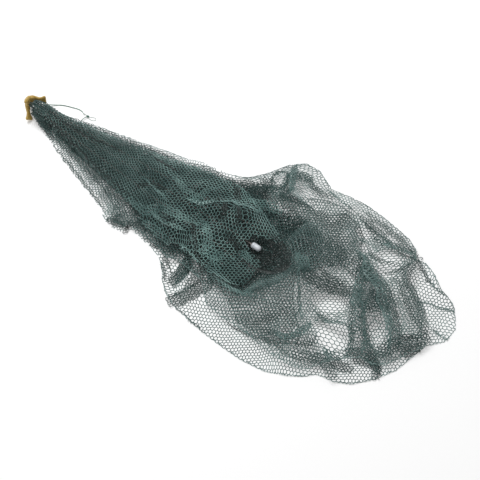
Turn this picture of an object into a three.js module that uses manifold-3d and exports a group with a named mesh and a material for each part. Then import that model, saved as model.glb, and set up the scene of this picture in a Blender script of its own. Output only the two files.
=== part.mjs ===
// Umbrella fish trap, folded and laid down.
// A moulded hub with three flared arms holds three folded ribs and the gathered net. The net is laid
// back and forth in layers: the bag (floor, middle and top layer) lies on the surface, and the canopy
// (two layers) lies over the ribs as far as their ends. Millimetres, +Z up, +X from hub to bag end.
import * as THREE from 'three';
import { mergeVertices } from 'three/addons/utils/BufferGeometryUtils.js';
import Module from 'manifold-3d';

const wasm = await Module();
wasm.setup();

// ---------------------------------------------------------------- driving sizes

const HUB = {
  centre: new THREE.Vector3(5, -0.8, 24.05), // middle of the circle through the arm tips
  axis: new THREE.Vector3(0.962, -0.232, 0.147), // out of the inner face, towards the net
  firstArm: new THREE.Vector3(-0.221, -0.335, 0.915), // direction of the arm that stands up
  bossRadius: 8.2,
  bossBack: -17.8, // flat outer end of the boss, along the axis
  bossFront: -9, // inner face of the boss
  backFlatRadius: 5,
};
const RIB = { diameter: 2.2, sides: 10 };
const SOCKET = { diameter: 3.6, length: 15, grip: 9, clearance: 0.38, sides: 12 };
const CAP = { diameter: 9.4, length: 15.5, overlap: 6, clearance: 0.35 };
const NET = { thickness: 1.2, layerStep: 4, turnPoints: 3 };
const TWINE = { diameter: 1.3, sides: 8, step: 3 };
const FILAMENT = { diameter: 0.7, sides: 8, step: 1.8 };

// The model is drawn from the hub and then moved so that the origin is under the middle of the whole.
const ORIGIN = { x: 358.4, y: 17.6 };

// Turns rows of numbers into objects with the named columns.
function table(columns, rows) {
  return rows.map((row) => Object.fromEntries(columns.map((name, k) => [name, row[k]])));
}

// Value of one column at x, in a straight line between the rows on each side.
function at(rows, column, x) {
  const last = rows.length - 1;
  if (x <= rows[0].x) return rows[0][column];
  if (x >= rows[last].x) return rows[last][column];
  const k = rows.findIndex((row) => row.x >= x);
  const share = (x - rows[k - 1].x) / (rows[k].x - rows[k - 1].x);
  return THREE.MathUtils.lerp(rows[k - 1][column], rows[k][column], share);
}

// Plan of the bag. One row for each section across the trap, x from the hub. The floor layer runs from
// left to foldRight, turns and comes back as the middle layer to foldLeft, turns again and runs as the
// top layer to right. So a single layer lies between left and foldLeft, and past foldRight.
const BAG = table(
  ['x', 'left', 'foldLeft', 'foldRight', 'right'],
  [
    [8, -10, -8, 4, 11],
    [40, -21, -13, 10, 20],
    [80, -36, -18, 18, 34],
    [120, -49, -27, 27, 46],
    [160, -62, -35, 35, 56],
    [200, -76, -44, 43, 65],
    [218, -87, -49, 46, 70],
    [240, -89, -56, 51, 75],
    [252, -86, -58, 55, 77],
    [260, -76, -59, 57, 80],
    [285, -77, -62, 65, 86],
    [318, -81, -66, 70, 88],
    [332, -95, -74, 74, 97],
    [346, -111, -76, 80, 108],
    [362, -125, -78, 95, 130],
    [380, -134, -80, 112, 162],
    [400, -138, -84, 120, 180],
    [425, -142, -96, 122, 181],
    [458, -145, -103, 140, 164],
    [485, -146, -105, 147, 170],
    [515, -146, -106, 145, 173],
    [550, -141, -107, 142, 170],
    [580, -128, -102, 138, 165],
    [600, -115, -94, 132, 161],
    [612, -101, -82, 128, 158],
    [630, -97, -78, 124, 150],
    [640, -95, -74, 122, 140],
    [660, -84, -62, 112, 132],
    [680, -61, -38, 98, 117],
    [698, -30, 0, 90, 111],
    [706, 4, 22, 86, 107],
    [712, 28, 38, 82, 102],
    [724, 42, 50, 74, 86],
    [731, 52, 60, 69, 74],
  ],
);

// Plan of the canopy. It lies folded once, on the top layer of the bag and over the ribs. Round the end
// of the capped rib its free end is drawn back by the notch.
const CANOPY = table(
  ['x', 'left', 'right', 'notch'],
  [
    [8, -9, 11, 0],
    [40, -14, 16, 0],
    [80, -19, 18, 0],
    [120, -27, 26, 0],
    [160, -35, 33, 0],
    [200, -43, 41, 0],
    [240, -53, 49, 0],
    [275, -58, 57, 0],
    [310, -61, 63, 0],
    [340, -61, 67, 0],
    [365, -63, 67, 0],
    [385, -61, 64, 0],
    [405, -57, 58, 8],
    [425, -52, 51, 18],
    [442, -46, 44, 27],
    [452, -40, 38, 35],
  ],
);
const NOTCH = { y: 6, halfWidth: 17 };
const CANOPY_GAP = 0.6; // spare height between the bag and the canopy that lies on it

// Ridges of the heap: middle of each, heading of its line in degrees from +X, half length, half width
// and height. Those of the bag stand in a ring round the capped rib end and run out in legs beyond it.
const RIDGE_COLUMNS = ['x', 'y', 'heading', 'halfLength', 'halfWidth', 'height'];
const BAG_RIDGES = table(RIDGE_COLUMNS, [
  [420, -78, -8, 52, 22, 22],
  [488, -48, 45, 42, 24, 24],
  [510, 22, 95, 50, 28, 30],
  [456, 80, 150, 46, 25, 26],
  [408, 124, -65, 42, 20, 16],
  [556, 88, -28, 50, 21, 18],
  [636, 30, -48, 50, 21, 20],
  [606, -10, -82, 60, 20, 18],
  [634, 92, -85, 36, 19, 12],
  [678, 46, -25, 30, 18, 10],
  [543, -72, 80, 34, 19, 12],
]);
const CANOPY_RIDGES = table(RIDGE_COLUMNS, [
  [372, -24, 60, 42, 21, 16],
  [398, 40, 25, 40, 18, 10],
  [336, 24, -20, 40, 18, 9],
  [262, 14, -8, 50, 17, 8],
  [300, -30, -6, 44, 17, 9],
  [210, -20, -14, 60, 15, 6],
]);
const RIDGE_EASE = 30; // distance over which a ridge dies away towards a fold or an edge
const MIDDLE_SHARE = 0.5; // how much of each ridge the layer under the top one follows

// Between the bag and the canopy the ribs need a flat bed, as far as their ends.
const RIB_BED = { y: 1, halfWidth: 56, end: 450, ease: 26 };

// Each rib runs straight from its place on the hub to its free end.
const RIBS = table(
  ['name', 'fromX', 'fromY', 'fromZ', 'toX', 'toY', 'toZ', 'capped'],
  [
    ['1', -2, 0.8, 22.2, 429, 5.5, 16.6, true],
    ['2', -2.6, -3.4, 20.8, 428, -27, 15.2, false],
    ['3', -0.8, 5, 21.2, 428, 34, 15.2, false],
  ],
);

// ---------------------------------------------------------------- small helpers

const clamp01 = (value) => Math.min(1, Math.max(0, value));
const ease = (value) => clamp01(value) ** 2 * (3 - 2 * clamp01(value));

function material(color, roughness, metalness = 0) {
  return new THREE.MeshStandardMaterial({ color, roughness, metalness });
}

const PLASTIC_YELLOW = material('#b98f35', 0.55);
const PLASTIC_WHITE = material('#dfe2e4', 0.4);
const RUBBER_DARK = material('#2b302e', 0.7);
const FIBREGLASS = material('#a08d84', 0.5);
const NET_GREEN = material('#4f7268', 0.7);
const NET_GREEN_DEEP = material('#45655c', 0.7);
const TWINE_GREEN = material('#5f8275', 0.75);

function named(name, geometry, look) {
  const mesh = new THREE.Mesh(geometry, look);
  mesh.name = name;
  return mesh;
}

// A closed mesh as a manifold solid, and a manifold solid as a mesh again.
function toSolid(geometry) {
  const bare = geometry.clone();
  bare.deleteAttribute('normal');
  bare.deleteAttribute('uv');
  const merged = mergeVertices(bare, 1e-4);
  return new wasm.Manifold(
    new wasm.Mesh({
      numProp: 3,
      vertProperties: new Float32Array(merged.attributes.position.array),
      triVerts: new Uint32Array(merged.index.array),
    }),
  );
}

function toGeometry(solid) {
  const mesh = solid.getMesh();
  const geometry = new THREE.BufferGeometry();
  geometry.setAttribute('position', new THREE.BufferAttribute(mesh.vertProperties, 3));
  geometry.setIndex(new THREE.BufferAttribute(mesh.triVerts, 1));
  geometry.computeVertexNormals();
  return geometry;
}

function joined(geometries) {
  const solids = geometries.map(toSolid);
  return toGeometry(solids.reduce((whole, next) => whole.add(next)));
}

// Closed skin over rings of points. Each ring runs round one section, and ends close the skin. Every
// four-sided piece is split towards +Y, so that cloth lying on cloth is split the same way.
function skin(rings, closeStart, closeEnd) {
  const size = rings[0].length;
  const faces = [];
  for (let i = 0; i + 1 < rings.length; i += 1) {
    for (let k = 0; k < size; k += 1) {
      const next = (k + 1) % size;
      const a = i * size + k;
      const b = i * size + next;
      if (rings[i][next].y > rings[i][k].y) faces.push(a, a + size, b + size, a, b + size, b);
      else faces.push(a, a + size, b, b, a + size, b + size);
    }
  }
  const last = (rings.length - 1) * size;
  closeStart(size).forEach(([a, b, c]) => faces.push(a, b, c));
  closeEnd(size).forEach(([a, b, c]) => faces.push(last + a, last + c, last + b));
  const geometry = new THREE.BufferGeometry();
  geometry.setFromPoints(rings.flat());
  geometry.setIndex(faces);
  geometry.computeVertexNormals();
  return geometry;
}

// Closes the end of a strip: its ring holds the upper side forwards and the lower side backwards.
function stripEnd(size) {
  const faces = [];
  for (let k = 0; k + 1 < size / 2; k += 1) {
    faces.push([k, k + 1, size - 2 - k], [k, size - 2 - k, size - 1 - k]);
  }
  return faces;
}

// Closes the end of a round piece with a fan.
function fanEnd(size) {
  const faces = [];
  for (let k = 1; k + 1 < size; k += 1) faces.push([0, k, k + 1]);
  return faces;
}

// ---------------------------------------------------------------- shape of the heap

// Sum of the ridges at a place: a bell across and along each ridge line.
function ridges(rows, x, y) {
  return rows.reduce((sum, row) => {
    const turn = THREE.MathUtils.degToRad(row.heading);
    const along = ((x - row.x) * Math.cos(turn) + (y - row.y) * Math.sin(turn)) / row.halfLength;
    const across = ((y - row.y) * Math.cos(turn) - (x - row.x) * Math.sin(turn)) / row.halfWidth;
    return sum + row.height * Math.exp(-(along ** 4) - across ** 2);
  }, 0);
}

// The gathered neck leaves the hub above the surface and comes down to it.
function neckLift(x) {
  return 5.5 * (1 - ease((x - 8) / 46));
}

// 1 where the bag may rise, 0 on the bed of the ribs.
function clearOfRibs(x, y) {
  const beside = ease((Math.abs(y - RIB_BED.y) - RIB_BED.halfWidth) / RIB_BED.ease);
  const beyond = ease((x - RIB_BED.end) / RIB_BED.ease);
  return Math.max(beside, beyond);
}

// Rise of the bag's upper layers above their own level, dying away towards both sides.
function bagRise(x, y, left, right) {
  const sides = ease((y - left) / RIDGE_EASE) * ease((right - y) / RIDGE_EASE);
  return ridges(BAG_RIDGES, x, y) * sides * clearOfRibs(x, y);
}

function floorLevel(x) {
  return neckLift(x) + NET.thickness / 2;
}

function middleLevel(x, y) {
  const rise = bagRise(x, y, at(BAG, 'foldLeft', x), at(BAG, 'foldRight', x));
  return floorLevel(x) + NET.layerStep + MIDDLE_SHARE * rise;
}

// The top layer comes down to the surface outside the fold of the two layers under it.
function topLevel(x, y) {
  const level = 2 * NET.layerStep + bagRise(x, y, at(BAG, 'foldLeft', x), at(BAG, 'right', x));
  const foldRight = at(BAG, 'foldRight', x) + NET.layerStep;
  const fall = ease((y - foldRight) / (at(BAG, 'right', x) - foldRight)) * ease((x - 20) / 40);
  return floorLevel(x) + level * (1 - fall);
}

// Height of the highest rib at x.
function ribTop(x) {
  const middle = RIBS[0];
  const share = clamp01((x - middle.fromX) / (middle.toX - middle.fromX));
  return THREE.MathUtils.lerp(middle.fromZ, middle.toZ, share) + SOCKET.diameter / 2;
}

// The canopy rests on the bag at its two edges and on the ribs between them.
function canopyLevel(x, y, layer) {
  const left = at(CANOPY, 'left', x);
  const right = at(CANOPY, 'right', x);
  const across = (2 * y - left - right) / (right - left);
  const bed = topLevel(x, y) + NET.layerStep + CANOPY_GAP;
  const overRibs = Math.max(0, ribTop(x) + 2 - bed) * (1 - Math.abs(across) ** 4);
  const sides = ease((y - left) / RIDGE_EASE) * ease((right - y) / RIDGE_EASE);
  const share = layer === 0 ? MIDDLE_SHARE : 1;
  return bed + overRibs + layer * NET.layerStep + share * sides * ridges(CANOPY_RIDGES, x, y);
}

// ---------------------------------------------------------------- cloth

// Steps across each layer of a section.
const FLOOR_STEPS = 4;
const BAG_STEPS = 16;
const EDGE_STEPS = 3;
const CANOPY_STEPS = 12;

// Points of one layer between two places across the trap. A section may be drawn back at some places.
function layer(x, from, to, steps, level, drawnBack = () => 0) {
  const points = [];
  for (let k = 0; k <= steps; k += 1) {
    const y = THREE.MathUtils.lerp(from, to, k / steps);
    const place = x - drawnBack(y);
    points.push(new THREE.Vector3(place, y, level(place, y)));
  }
  return points;
}

// Points of the half turn from the layer below to the layer above, bulging to one side.
function turn(below, above, side) {
  const points = [];
  const radius = (above.z - below.z) / 2;
  for (let k = 1; k <= NET.turnPoints; k += 1) {
    const angle = (Math.PI * k) / (NET.turnPoints + 1);
    const y = below.y + side * radius * Math.sin(angle);
    points.push(new THREE.Vector3(below.x, y, below.z + radius * (1 - Math.cos(angle))));
  }
  return points;
}

// Ring of a strip section: its path moved half a thickness to one side, and back on the other side.
function stripRing(path) {
  const upper = [];
  const lower = [];
  path.forEach((point, k) => {
    const before = path[Math.max(0, k - 1)];
    const after = path[Math.min(path.length - 1, k + 1)];
    const run = new THREE.Vector2(after.y - before.y, after.z - before.z).normalize();
    const side = new THREE.Vector3(0, -run.y, run.x).multiplyScalar(NET.thickness / 2);
    upper.push(point.clone().add(side));
    lower.unshift(point.clone().sub(side));
  });
  return [...upper, ...lower];
}

// Floor, middle and top layer of the bag in one path. The top layer has its points over the middle's.
function bagPath({ x, left, foldLeft, foldRight, right }) {
  const floor = layer(x, left, foldRight, FLOOR_STEPS, floorLevel);
  const middle = layer(x, foldRight, foldLeft, BAG_STEPS, middleLevel);
  const top = layer(x, foldLeft, foldRight, BAG_STEPS, topLevel);
  const edge = layer(x, foldRight + NET.layerStep, right, EDGE_STEPS, topLevel);
  return [
    ...floor,
    ...turn(floor[floor.length - 1], middle[0], 1),
    ...middle,
    ...turn(middle[middle.length - 1], top[0], -1),
    ...top,
    ...edge,
  ];
}

function netBag() {
  return skin(BAG.map((row) => stripRing(bagPath(row))), stripEnd, stripEnd);
}

// Lower and upper layer of the canopy in one path.
function canopyPath({ x, left, right, notch }) {
  const drawnBack = (y) => notch * Math.exp(-(((y - NOTCH.y) / NOTCH.halfWidth) ** 4));
  const lower = layer(x, left, right, CANOPY_STEPS, (px, py) => canopyLevel(px, py, 0), drawnBack);
  const upper = layer(x, right, left, CANOPY_STEPS, (px, py) => canopyLevel(px, py, 1), drawnBack);
  return [...lower, ...turn(lower[lower.length - 1], upper[0], 1), ...upper];
}

function netCanopy() {
  return skin(CANOPY.map((row) => stripRing(canopyPath(row))), stripEnd, stripEnd);
}

// ---------------------------------------------------------------- hub

// The three arms: direction round the axis from the first, how far each is splayed and how broad it is.
const ARMS = table(
  ['angle', 'splay', 'breadth'],
  [
    [0, 0.95, 1],
    [120, 1.17, 0.92],
    [240, 0.93, 1.2],
  ],
);
// Sections of one arm from root to tip: distance out, place along the axis, width and thickness.
const ARM = table(
  ['out', 'along', 'width', 'thickness'],
  [
    [2, -14.4, 13, 6.4],
    [7, -13.4, 12, 5.8],
    [11, -10.4, 9, 4.6],
    [14.5, -6.4, 7, 3.9],
    [17.5, -3.4, 9, 4.2],
    [19.8, -1.2, 13, 4.8],
    [21.3, 0.4, 14.5, 4.6],
    [22.2, 1.6, 12, 3],
  ],
);
const ARM_SIDES = 14;
const ARM_SQUARENESS = 0.7; // 1 is a round section, less is squarer

function signedPower(value, power) {
  return Math.sign(value) * Math.abs(value) ** power;
}

// An arm bends from across the axis to nearly along it; its sections stand square to that bend.
function hubArm({ angle, splay, breadth }) {
  const turnAbout = THREE.MathUtils.degToRad(angle);
  const outward = new THREE.Vector3(Math.cos(turnAbout), Math.sin(turnAbout), 0);
  const sideways = new THREE.Vector3(-Math.sin(turnAbout), Math.cos(turnAbout), 0);
  const axis = new THREE.Vector3(0, 0, 1);
  const middle = ARM.map(({ out, along }) => (
    outward.clone().multiplyScalar(out * splay).addScaledVector(axis, along)
  ));
  const rings = ARM.map(({ width, thickness }, k) => {
    const run = middle[Math.min(k + 1, ARM.length - 1)].clone().sub(middle[Math.max(k - 1, 0)]);
    const face = new THREE.Vector3().crossVectors(run, sideways).normalize();
    const ring = [];
    for (let n = 0; n < ARM_SIDES; n += 1) {
      const around = (2 * Math.PI * n) / ARM_SIDES;
      const wide = (signedPower(Math.cos(around), ARM_SQUARENESS) * width * breadth) / 2;
      const thick = (signedPower(Math.sin(around), ARM_SQUARENESS) * thickness) / 2;
      ring.push(middle[k].clone().addScaledVector(sideways, -wide).addScaledVector(face, thick));
    }
    return ring;
  });
  return skin(rings, fanEnd, fanEnd);
}

// Boss with a flat outer end, a round shoulder and a flat inner face.
function hubBoss() {
  const { bossRadius, bossBack, bossFront, backFlatRadius } = HUB;
  const shoulder = bossRadius - backFlatRadius;
  const profile = [new THREE.Vector2(0, bossBack), new THREE.Vector2(backFlatRadius, bossBack)];
  for (let k = 1; k <= 4; k += 1) {
    const angle = (Math.PI / 2) * (k / 4);
    const radius = backFlatRadius + shoulder * Math.sin(angle);
    profile.push(new THREE.Vector2(radius, bossBack + shoulder * (1 - Math.cos(angle))));
  }
  profile.push(new THREE.Vector2(bossRadius, bossFront - 1), new THREE.Vector2(bossRadius - 1, bossFront));
  profile.push(new THREE.Vector2(0, bossFront));
  return new THREE.LatheGeometry(profile, 28).rotateX(Math.PI / 2);
}

// Turns the hub's own frame (x at the first arm direction, z along the axis) into the trap's frame.
function placeHub(mesh) {
  const z = HUB.axis.clone().normalize();
  const y = new THREE.Vector3().crossVectors(z, HUB.firstArm).normalize();
  const x = new THREE.Vector3().crossVectors(y, z);
  mesh.quaternion.setFromRotationMatrix(new THREE.Matrix4().makeBasis(x, y, z));
  mesh.position.copy(HUB.centre);
  return mesh;
}

function hub() {
  const arms = ARMS.map(hubArm);
  return placeHub(named('hub', joined([hubBoss(), ...arms]), PLASTIC_YELLOW));
}

// ---------------------------------------------------------------- ribs

// Sets a piece drawn along +Y at the start of a rib and along it.
function placeOnRib(mesh, rib, distance) {
  const from = new THREE.Vector3(rib.fromX, rib.fromY, rib.fromZ);
  const run = new THREE.Vector3(rib.toX, rib.toY, rib.toZ).sub(from).normalize();
  mesh.quaternion.setFromUnitVectors(new THREE.Vector3(0, 1, 0), run);
  mesh.position.copy(from).addScaledVector(run, distance);
  return mesh;
}

function ribLength(rib) {
  return Math.hypot(rib.toX - rib.fromX, rib.toY - rib.fromY, rib.toZ - rib.fromZ);
}

// A sleeve with a blind bore that holds the rib.
function ribSocket(rib) {
  const outer = SOCKET.diameter / 2;
  const bore = RIB.diameter / 2 + SOCKET.clearance;
  const floor = SOCKET.length - SOCKET.grip - SOCKET.clearance;
  const profile = [
    new THREE.Vector2(0, 0),
    new THREE.Vector2(outer, 0),
    new THREE.Vector2(outer, SOCKET.length),
    new THREE.Vector2(bore, SOCKET.length),
    new THREE.Vector2(bore, floor),
    new THREE.Vector2(0, floor),
  ];
  const sleeve = new THREE.LatheGeometry(profile, SOCKET.sides);
  return placeOnRib(named(`rib_socket_${rib.name}`, sleeve, RUBBER_DARK), rib, 0);
}

function ribRod(rib) {
  const start = SOCKET.length - SOCKET.grip;
  const length = ribLength(rib) - start;
  const rod = new THREE.CylinderGeometry(RIB.diameter / 2, RIB.diameter / 2, length, RIB.sides);
  rod.translate(0, length / 2, 0);
  return placeOnRib(named(`rib_${rib.name}`, rod, FIBREGLASS), rib, start);
}

// Capsule with a blind bore, pushed over the free end of the rib.
function ribCap(rib) {
  const radius = CAP.diameter / 2;
  const bore = RIB.diameter / 2 + CAP.clearance;
  const profile = [new THREE.Vector2(0, CAP.overlap + CAP.clearance), new THREE.Vector2(bore, CAP.overlap + CAP.clearance)];
  profile.push(new THREE.Vector2(bore, 0), new THREE.Vector2(radius - 2, 0));
  for (let k = 1; k <= 3; k += 1) {
    const angle = (Math.PI / 2) * (k / 3);
    profile.push(new THREE.Vector2(radius - 2 + 2 * Math.sin(angle), 2 - 2 * Math.cos(angle)));
  }
  for (let k = 0; k <= 6; k += 1) {
    const angle = (Math.PI / 2) * (k / 6);
    const along = CAP.length - radius + radius * Math.sin(angle);
    profile.push(new THREE.Vector2(k === 6 ? 0 : radius * Math.cos(angle), along));
  }
  const capsule = new THREE.LatheGeometry(profile, 24);
  return placeOnRib(named('rib_cap', capsule, PLASTIC_WHITE), rib, ribLength(rib) - CAP.overlap);
}

// ---------------------------------------------------------------- loose twine

// The free thread leaves the neck of the net under the hub's arm and ends frayed on the surface.
const THREAD_POINTS = [
  [7, 13.4, 8.6],
  [7.8, 17, 7.2],
  [9.1, 20, 5.6],
  [11.1, 23.2, 3.9],
  [13.9, 26.5, 2.4],
  [18, 30.3, 1.3],
  [22.3, 33.9, 0.8],
  [26.4, 36.5, 0.8],
  [30.3, 38.4, 0.8],
  [34.2, 40, 0.8],
  [38.6, 41.6, 0.8],
  [43.2, 43.1, 0.8],
  [48, 44.8, 0.8],
  [52.6, 46, 0.8],
  [56.8, 46.3, 0.8],
  [60.6, 45.6, 0.8],
  [63.2, 44.6, 0.8],
];
// A short tail stands from the edge of the net to the knot, and a thin loop lies beyond it.
const TAIL_POINTS = [
  [70.5, 31.9, 2],
  [70.8, 34, 2.5],
  [71.3, 36.6, 2.9],
  [71.8, 38.8, 2.9],
  [72.2, 40.6, 2.6],
];
const LOOP_POINTS = [
  [76.3, 45.3, 0.9],
  [78, 46.1, 0.6],
  [79.9, 47.1, 0.5],
  [82, 48.1, 0.5],
  [84.2, 48.6, 0.5],
  [86.4, 47.8, 0.5],
  [87.2, 45.8, 0.5],
  [85.8, 43.8, 0.5],
  [83.3, 42.4, 0.5],
  [80.7, 41.9, 0.5],
  [78.4, 41.8, 0.6],
  [76.9, 42, 0.8],
];
const KNOT = { x: 73.2, y: 43.4, z: 2.2, length: 4.6, width: 3.8, height: 3.6 };

function twine(name, points, { diameter, sides, step }) {
  const curve = new THREE.CatmullRomCurve3(points.map((point) => new THREE.Vector3(...point)));
  const section = new THREE.Shape();
  for (let k = 0; k < sides; k += 1) {
    const angle = (2 * Math.PI * k) / sides;
    const place = [(Math.cos(angle) * diameter) / 2, (Math.sin(angle) * diameter) / 2];
    if (k === 0) section.moveTo(...place);
    else section.lineTo(...place);
  }
  section.closePath();
  const steps = Math.ceil(curve.getLength() / step);
  const tube = new THREE.ExtrudeGeometry(section, { steps, bevelEnabled: false, extrudePath: curve });
  return named(name, tube, TWINE_GREEN);
}

function knot() {
  const ball = new THREE.SphereGeometry(0.5, 14, 9).rotateX(Math.PI / 2);
  ball.scale(KNOT.length, KNOT.width, KNOT.height);
  const mesh = named('knot', ball, TWINE_GREEN);
  mesh.position.set(KNOT.x, KNOT.y, KNOT.z);
  return mesh;
}

// ---------------------------------------------------------------- the whole

function fishTrap() {
  const trap = new THREE.Group();
  trap.add(hub());
  RIBS.forEach((rib) => trap.add(ribSocket(rib), ribRod(rib)));
  trap.add(ribCap(RIBS.find((rib) => rib.capped)));
  trap.add(named('net_bag', netBag(), NET_GREEN));
  trap.add(named('net_canopy', netCanopy(), NET_GREEN_DEEP));
  trap.add(twine('thread', THREAD_POINTS, TWINE));
  trap.add(twine('knot_tail', TAIL_POINTS, TWINE));
  trap.add(twine('knot_loop', LOOP_POINTS, FILAMENT));
  trap.add(knot());
  trap.position.set(-ORIGIN.x, -ORIGIN.y, 0);
  return trap;
}

export default fishTrap();
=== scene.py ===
# %% [markdown]
# # A folded umbrella fish trap, laid down
# The real object is a small folding trap: a moulded hub with three flared arms, thin ribs that fold
# like those of an umbrella, and a green net that hangs on them. Here it lies shut on a pale floor, with
# the net gathered at the hub and spilling out into a loose heap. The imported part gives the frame. Its
# hard pieces stay, or get a finer twin, and its net solids are replaced by real netting, strand by strand.

import bpy
import numpy as np
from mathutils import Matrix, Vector


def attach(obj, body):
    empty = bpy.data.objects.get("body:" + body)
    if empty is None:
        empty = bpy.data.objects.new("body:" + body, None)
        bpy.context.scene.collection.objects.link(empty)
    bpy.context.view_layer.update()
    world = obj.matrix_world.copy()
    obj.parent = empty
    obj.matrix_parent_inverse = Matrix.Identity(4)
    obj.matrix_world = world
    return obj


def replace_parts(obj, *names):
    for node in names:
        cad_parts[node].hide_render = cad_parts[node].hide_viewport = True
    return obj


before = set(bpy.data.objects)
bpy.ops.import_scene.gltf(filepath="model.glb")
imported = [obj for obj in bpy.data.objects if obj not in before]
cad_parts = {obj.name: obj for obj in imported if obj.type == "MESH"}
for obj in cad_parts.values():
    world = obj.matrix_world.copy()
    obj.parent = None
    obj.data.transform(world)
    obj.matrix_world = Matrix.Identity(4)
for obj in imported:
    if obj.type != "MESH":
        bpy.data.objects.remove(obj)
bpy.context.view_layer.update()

# %% [markdown]
# ## The camera
# A long lens from high on one side keeps the trap's long cone and its heap in scale with each other. The
# camera stands on the line that leaves the aim point at the two angles below, and looks back down it.

# %% Camera
AIM = Vector((0.0436, -0.0136, 0.010))
AZIMUTH, ELEVATION, DISTANCE = np.radians(36.87), np.radians(60.0), 1.764


def placed(name, data, place=(0, 0, 0), away=None):
    """New object in the scene at place; a lamp or camera also looks back along the vector away."""
    made = bpy.data.objects.new(name, data)
    made.location = place
    if away is not None:
        made.rotation_mode = "QUATERNION"
        made.rotation_quaternion = (-away).to_track_quat("-Z", "Y")
    bpy.context.collection.objects.link(made)
    return made


def add_camera():
    """Camera at AIM + DISTANCE times the unit vector of the two angles, looking at AIM."""
    lens = bpy.data.cameras.new("camera")
    lens.lens, lens.sensor_width = 90.0, 36.0
    away = Vector((
        np.sin(AZIMUTH) * np.cos(ELEVATION),
        -np.cos(AZIMUTH) * np.cos(ELEVATION),
        np.sin(ELEVATION),
    ))
    camera = placed("camera", lens, AIM + away * DISTANCE, away)
    bpy.context.scene.camera = camera
    print("camera at", [round(c, 3) for c in camera.location])


add_camera()

# %% [markdown]
# ## Colours and nodes
# Colours are written as sRGB hex, as on a colour card, and turned to linear light here. Every shader
# below is a handful of nodes, so one small function adds a node with its settings and its links.

# %% Colour and node helpers


def linear(hex_colour):
    """Linear RGBA of an sRGB hex colour: each channel c becomes ((c + 0.055) / 1.055) ** 2.4."""
    srgb = np.array([int(hex_colour[k:k + 2], 16) / 255 for k in (1, 3, 5)])
    light = np.where(srgb <= 0.04045, srgb / 12.92, ((srgb + 0.055) / 1.055) ** 2.4)
    return (*light.tolist(), 1.0)


def add_node(material, kind, settings=(), inputs=()):
    """Adds one node. Settings are its properties, and inputs its sockets' numbers or linked sockets."""
    made = material.node_tree.nodes.new(kind)
    for name, value in dict(settings).items():
        setattr(made, name, value)
    for name, value in dict(inputs).items():
        if isinstance(value, bpy.types.NodeSocket):
            material.node_tree.links.new(value, made.inputs[name])
        else:
            made.inputs[name].default_value = value
    return made


def new_material(name, roughness, **sockets):
    """Empty material with one Principled shader, whose plain numbers sit on its own sockets."""
    material = bpy.data.materials.new(name)
    material.use_nodes = True
    material.node_tree.nodes.clear()
    numbers = {"Roughness": roughness, **{k.replace("_", " "): v for k, v in sockets.items()}}
    shader = add_node(material, "ShaderNodeBsdfPrincipled", inputs=numbers)
    out = add_node(material, "ShaderNodeOutputMaterial")
    material.node_tree.links.new(shader.outputs["BSDF"], out.inputs["Surface"])
    return material, shader


def finish(name, roughness, ior, low, high, patch_mm, grain=None):
    """Material whose colour drifts between two hex colours in patches of about patch_mm. grain is the size
    and height, in millimetres, of a fine bump."""
    material, shader = new_material(name, roughness, IOR=ior)
    place = add_node(material, "ShaderNodeTexCoord").outputs["Object"]
    patches = add_node(material, "ShaderNodeTexNoise", inputs={
        "Vector": place, "Scale": 1000 / patch_mm, "Detail": 3.0, "Roughness": 0.55})
    ramp = add_node(material, "ShaderNodeValToRGB", inputs={"Fac": patches.outputs["Fac"]})
    for stop, position, colour in zip(ramp.color_ramp.elements, (0.34, 0.66), (low, high)):
        stop.position, stop.color = position, linear(colour)
    material.node_tree.links.new(ramp.outputs["Color"], shader.inputs["Base Color"])
    if grain:
        noise = add_node(material, "ShaderNodeTexNoise", inputs={
            "Vector": place, "Scale": 1000 / grain[0], "Detail": 2.0})
        bump = add_node(material, "ShaderNodeBump", inputs={
            "Height": noise.outputs["Fac"], "Distance": grain[1] / 1000, "Strength": 1.0})
        material.node_tree.links.new(bump.outputs["Normal"], shader.inputs["Normal"])
    return material


# %% [markdown]
# ## From a table of points to a mesh
# All small pieces are surfaces over two parameters: a path gives the first, the way round it the second.
# The tables below are in millimetres with the hub at x = 0, as the trap was measured, and one function
# moves them into the part's frame, in metres.

# %% Meshes from arrays
HUB_PLACE = np.array([358.4, 17.6, 0.0])


def to_part(points_mm):
    """Metres in the part's frame: (point - HUB_PLACE) / 1000."""
    return (np.asarray(points_mm, float) - HUB_PLACE) / 1000


def piece(name, points, faces, material, smooth=False):
    """Mesh object from points in metres and a list of face arrays, riding on the part's one body."""
    corners = np.concatenate([f.ravel() for f in faces]).astype(np.int32)
    sizes = np.concatenate([np.full(len(f), f.shape[1]) for f in faces])
    mesh = bpy.data.meshes.new(name)
    mesh.vertices.add(len(points))
    mesh.vertices.foreach_set("co", np.ascontiguousarray(points, np.float32).ravel())
    mesh.loops.add(len(corners))
    mesh.loops.foreach_set("vertex_index", corners)
    mesh.polygons.add(len(sizes))
    mesh.polygons.foreach_set("loop_start", np.r_[0, np.cumsum(sizes)[:-1]].astype(np.int32))
    mesh.polygons.foreach_set("use_smooth", np.full(len(sizes), smooth))
    mesh.update(calc_edges=True)
    mesh.materials.append(material)
    made = placed(name, mesh)
    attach(made, "root")
    print(f"{name}: {int((sizes - 2).sum())} triangles")
    return made


def ring_faces(rings, around):
    """Four-sided faces between neighbouring rings, and one many-sided face on each end."""
    ring, k = np.arange(rings - 1)[:, None] * around, np.arange(around)
    a, b = ring + k, ring + (k + 1) % around
    sides = np.stack([a, b, b + around, a + around], axis=-1).reshape(-1, 4)
    return [sides, k[None, ::-1], (k + (rings - 1) * around)[None]]


def unit(vectors):
    """Each vector divided by its own length."""
    return vectors / np.maximum(np.linalg.norm(vectors, axis=-1, keepdims=True), 1e-9)


def distance_along(path):
    """Distance from the start of a path to each of its points: the running sum of its steps."""
    return np.r_[0, np.cumsum(np.linalg.norm(np.diff(path, axis=0), axis=1))]


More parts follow.
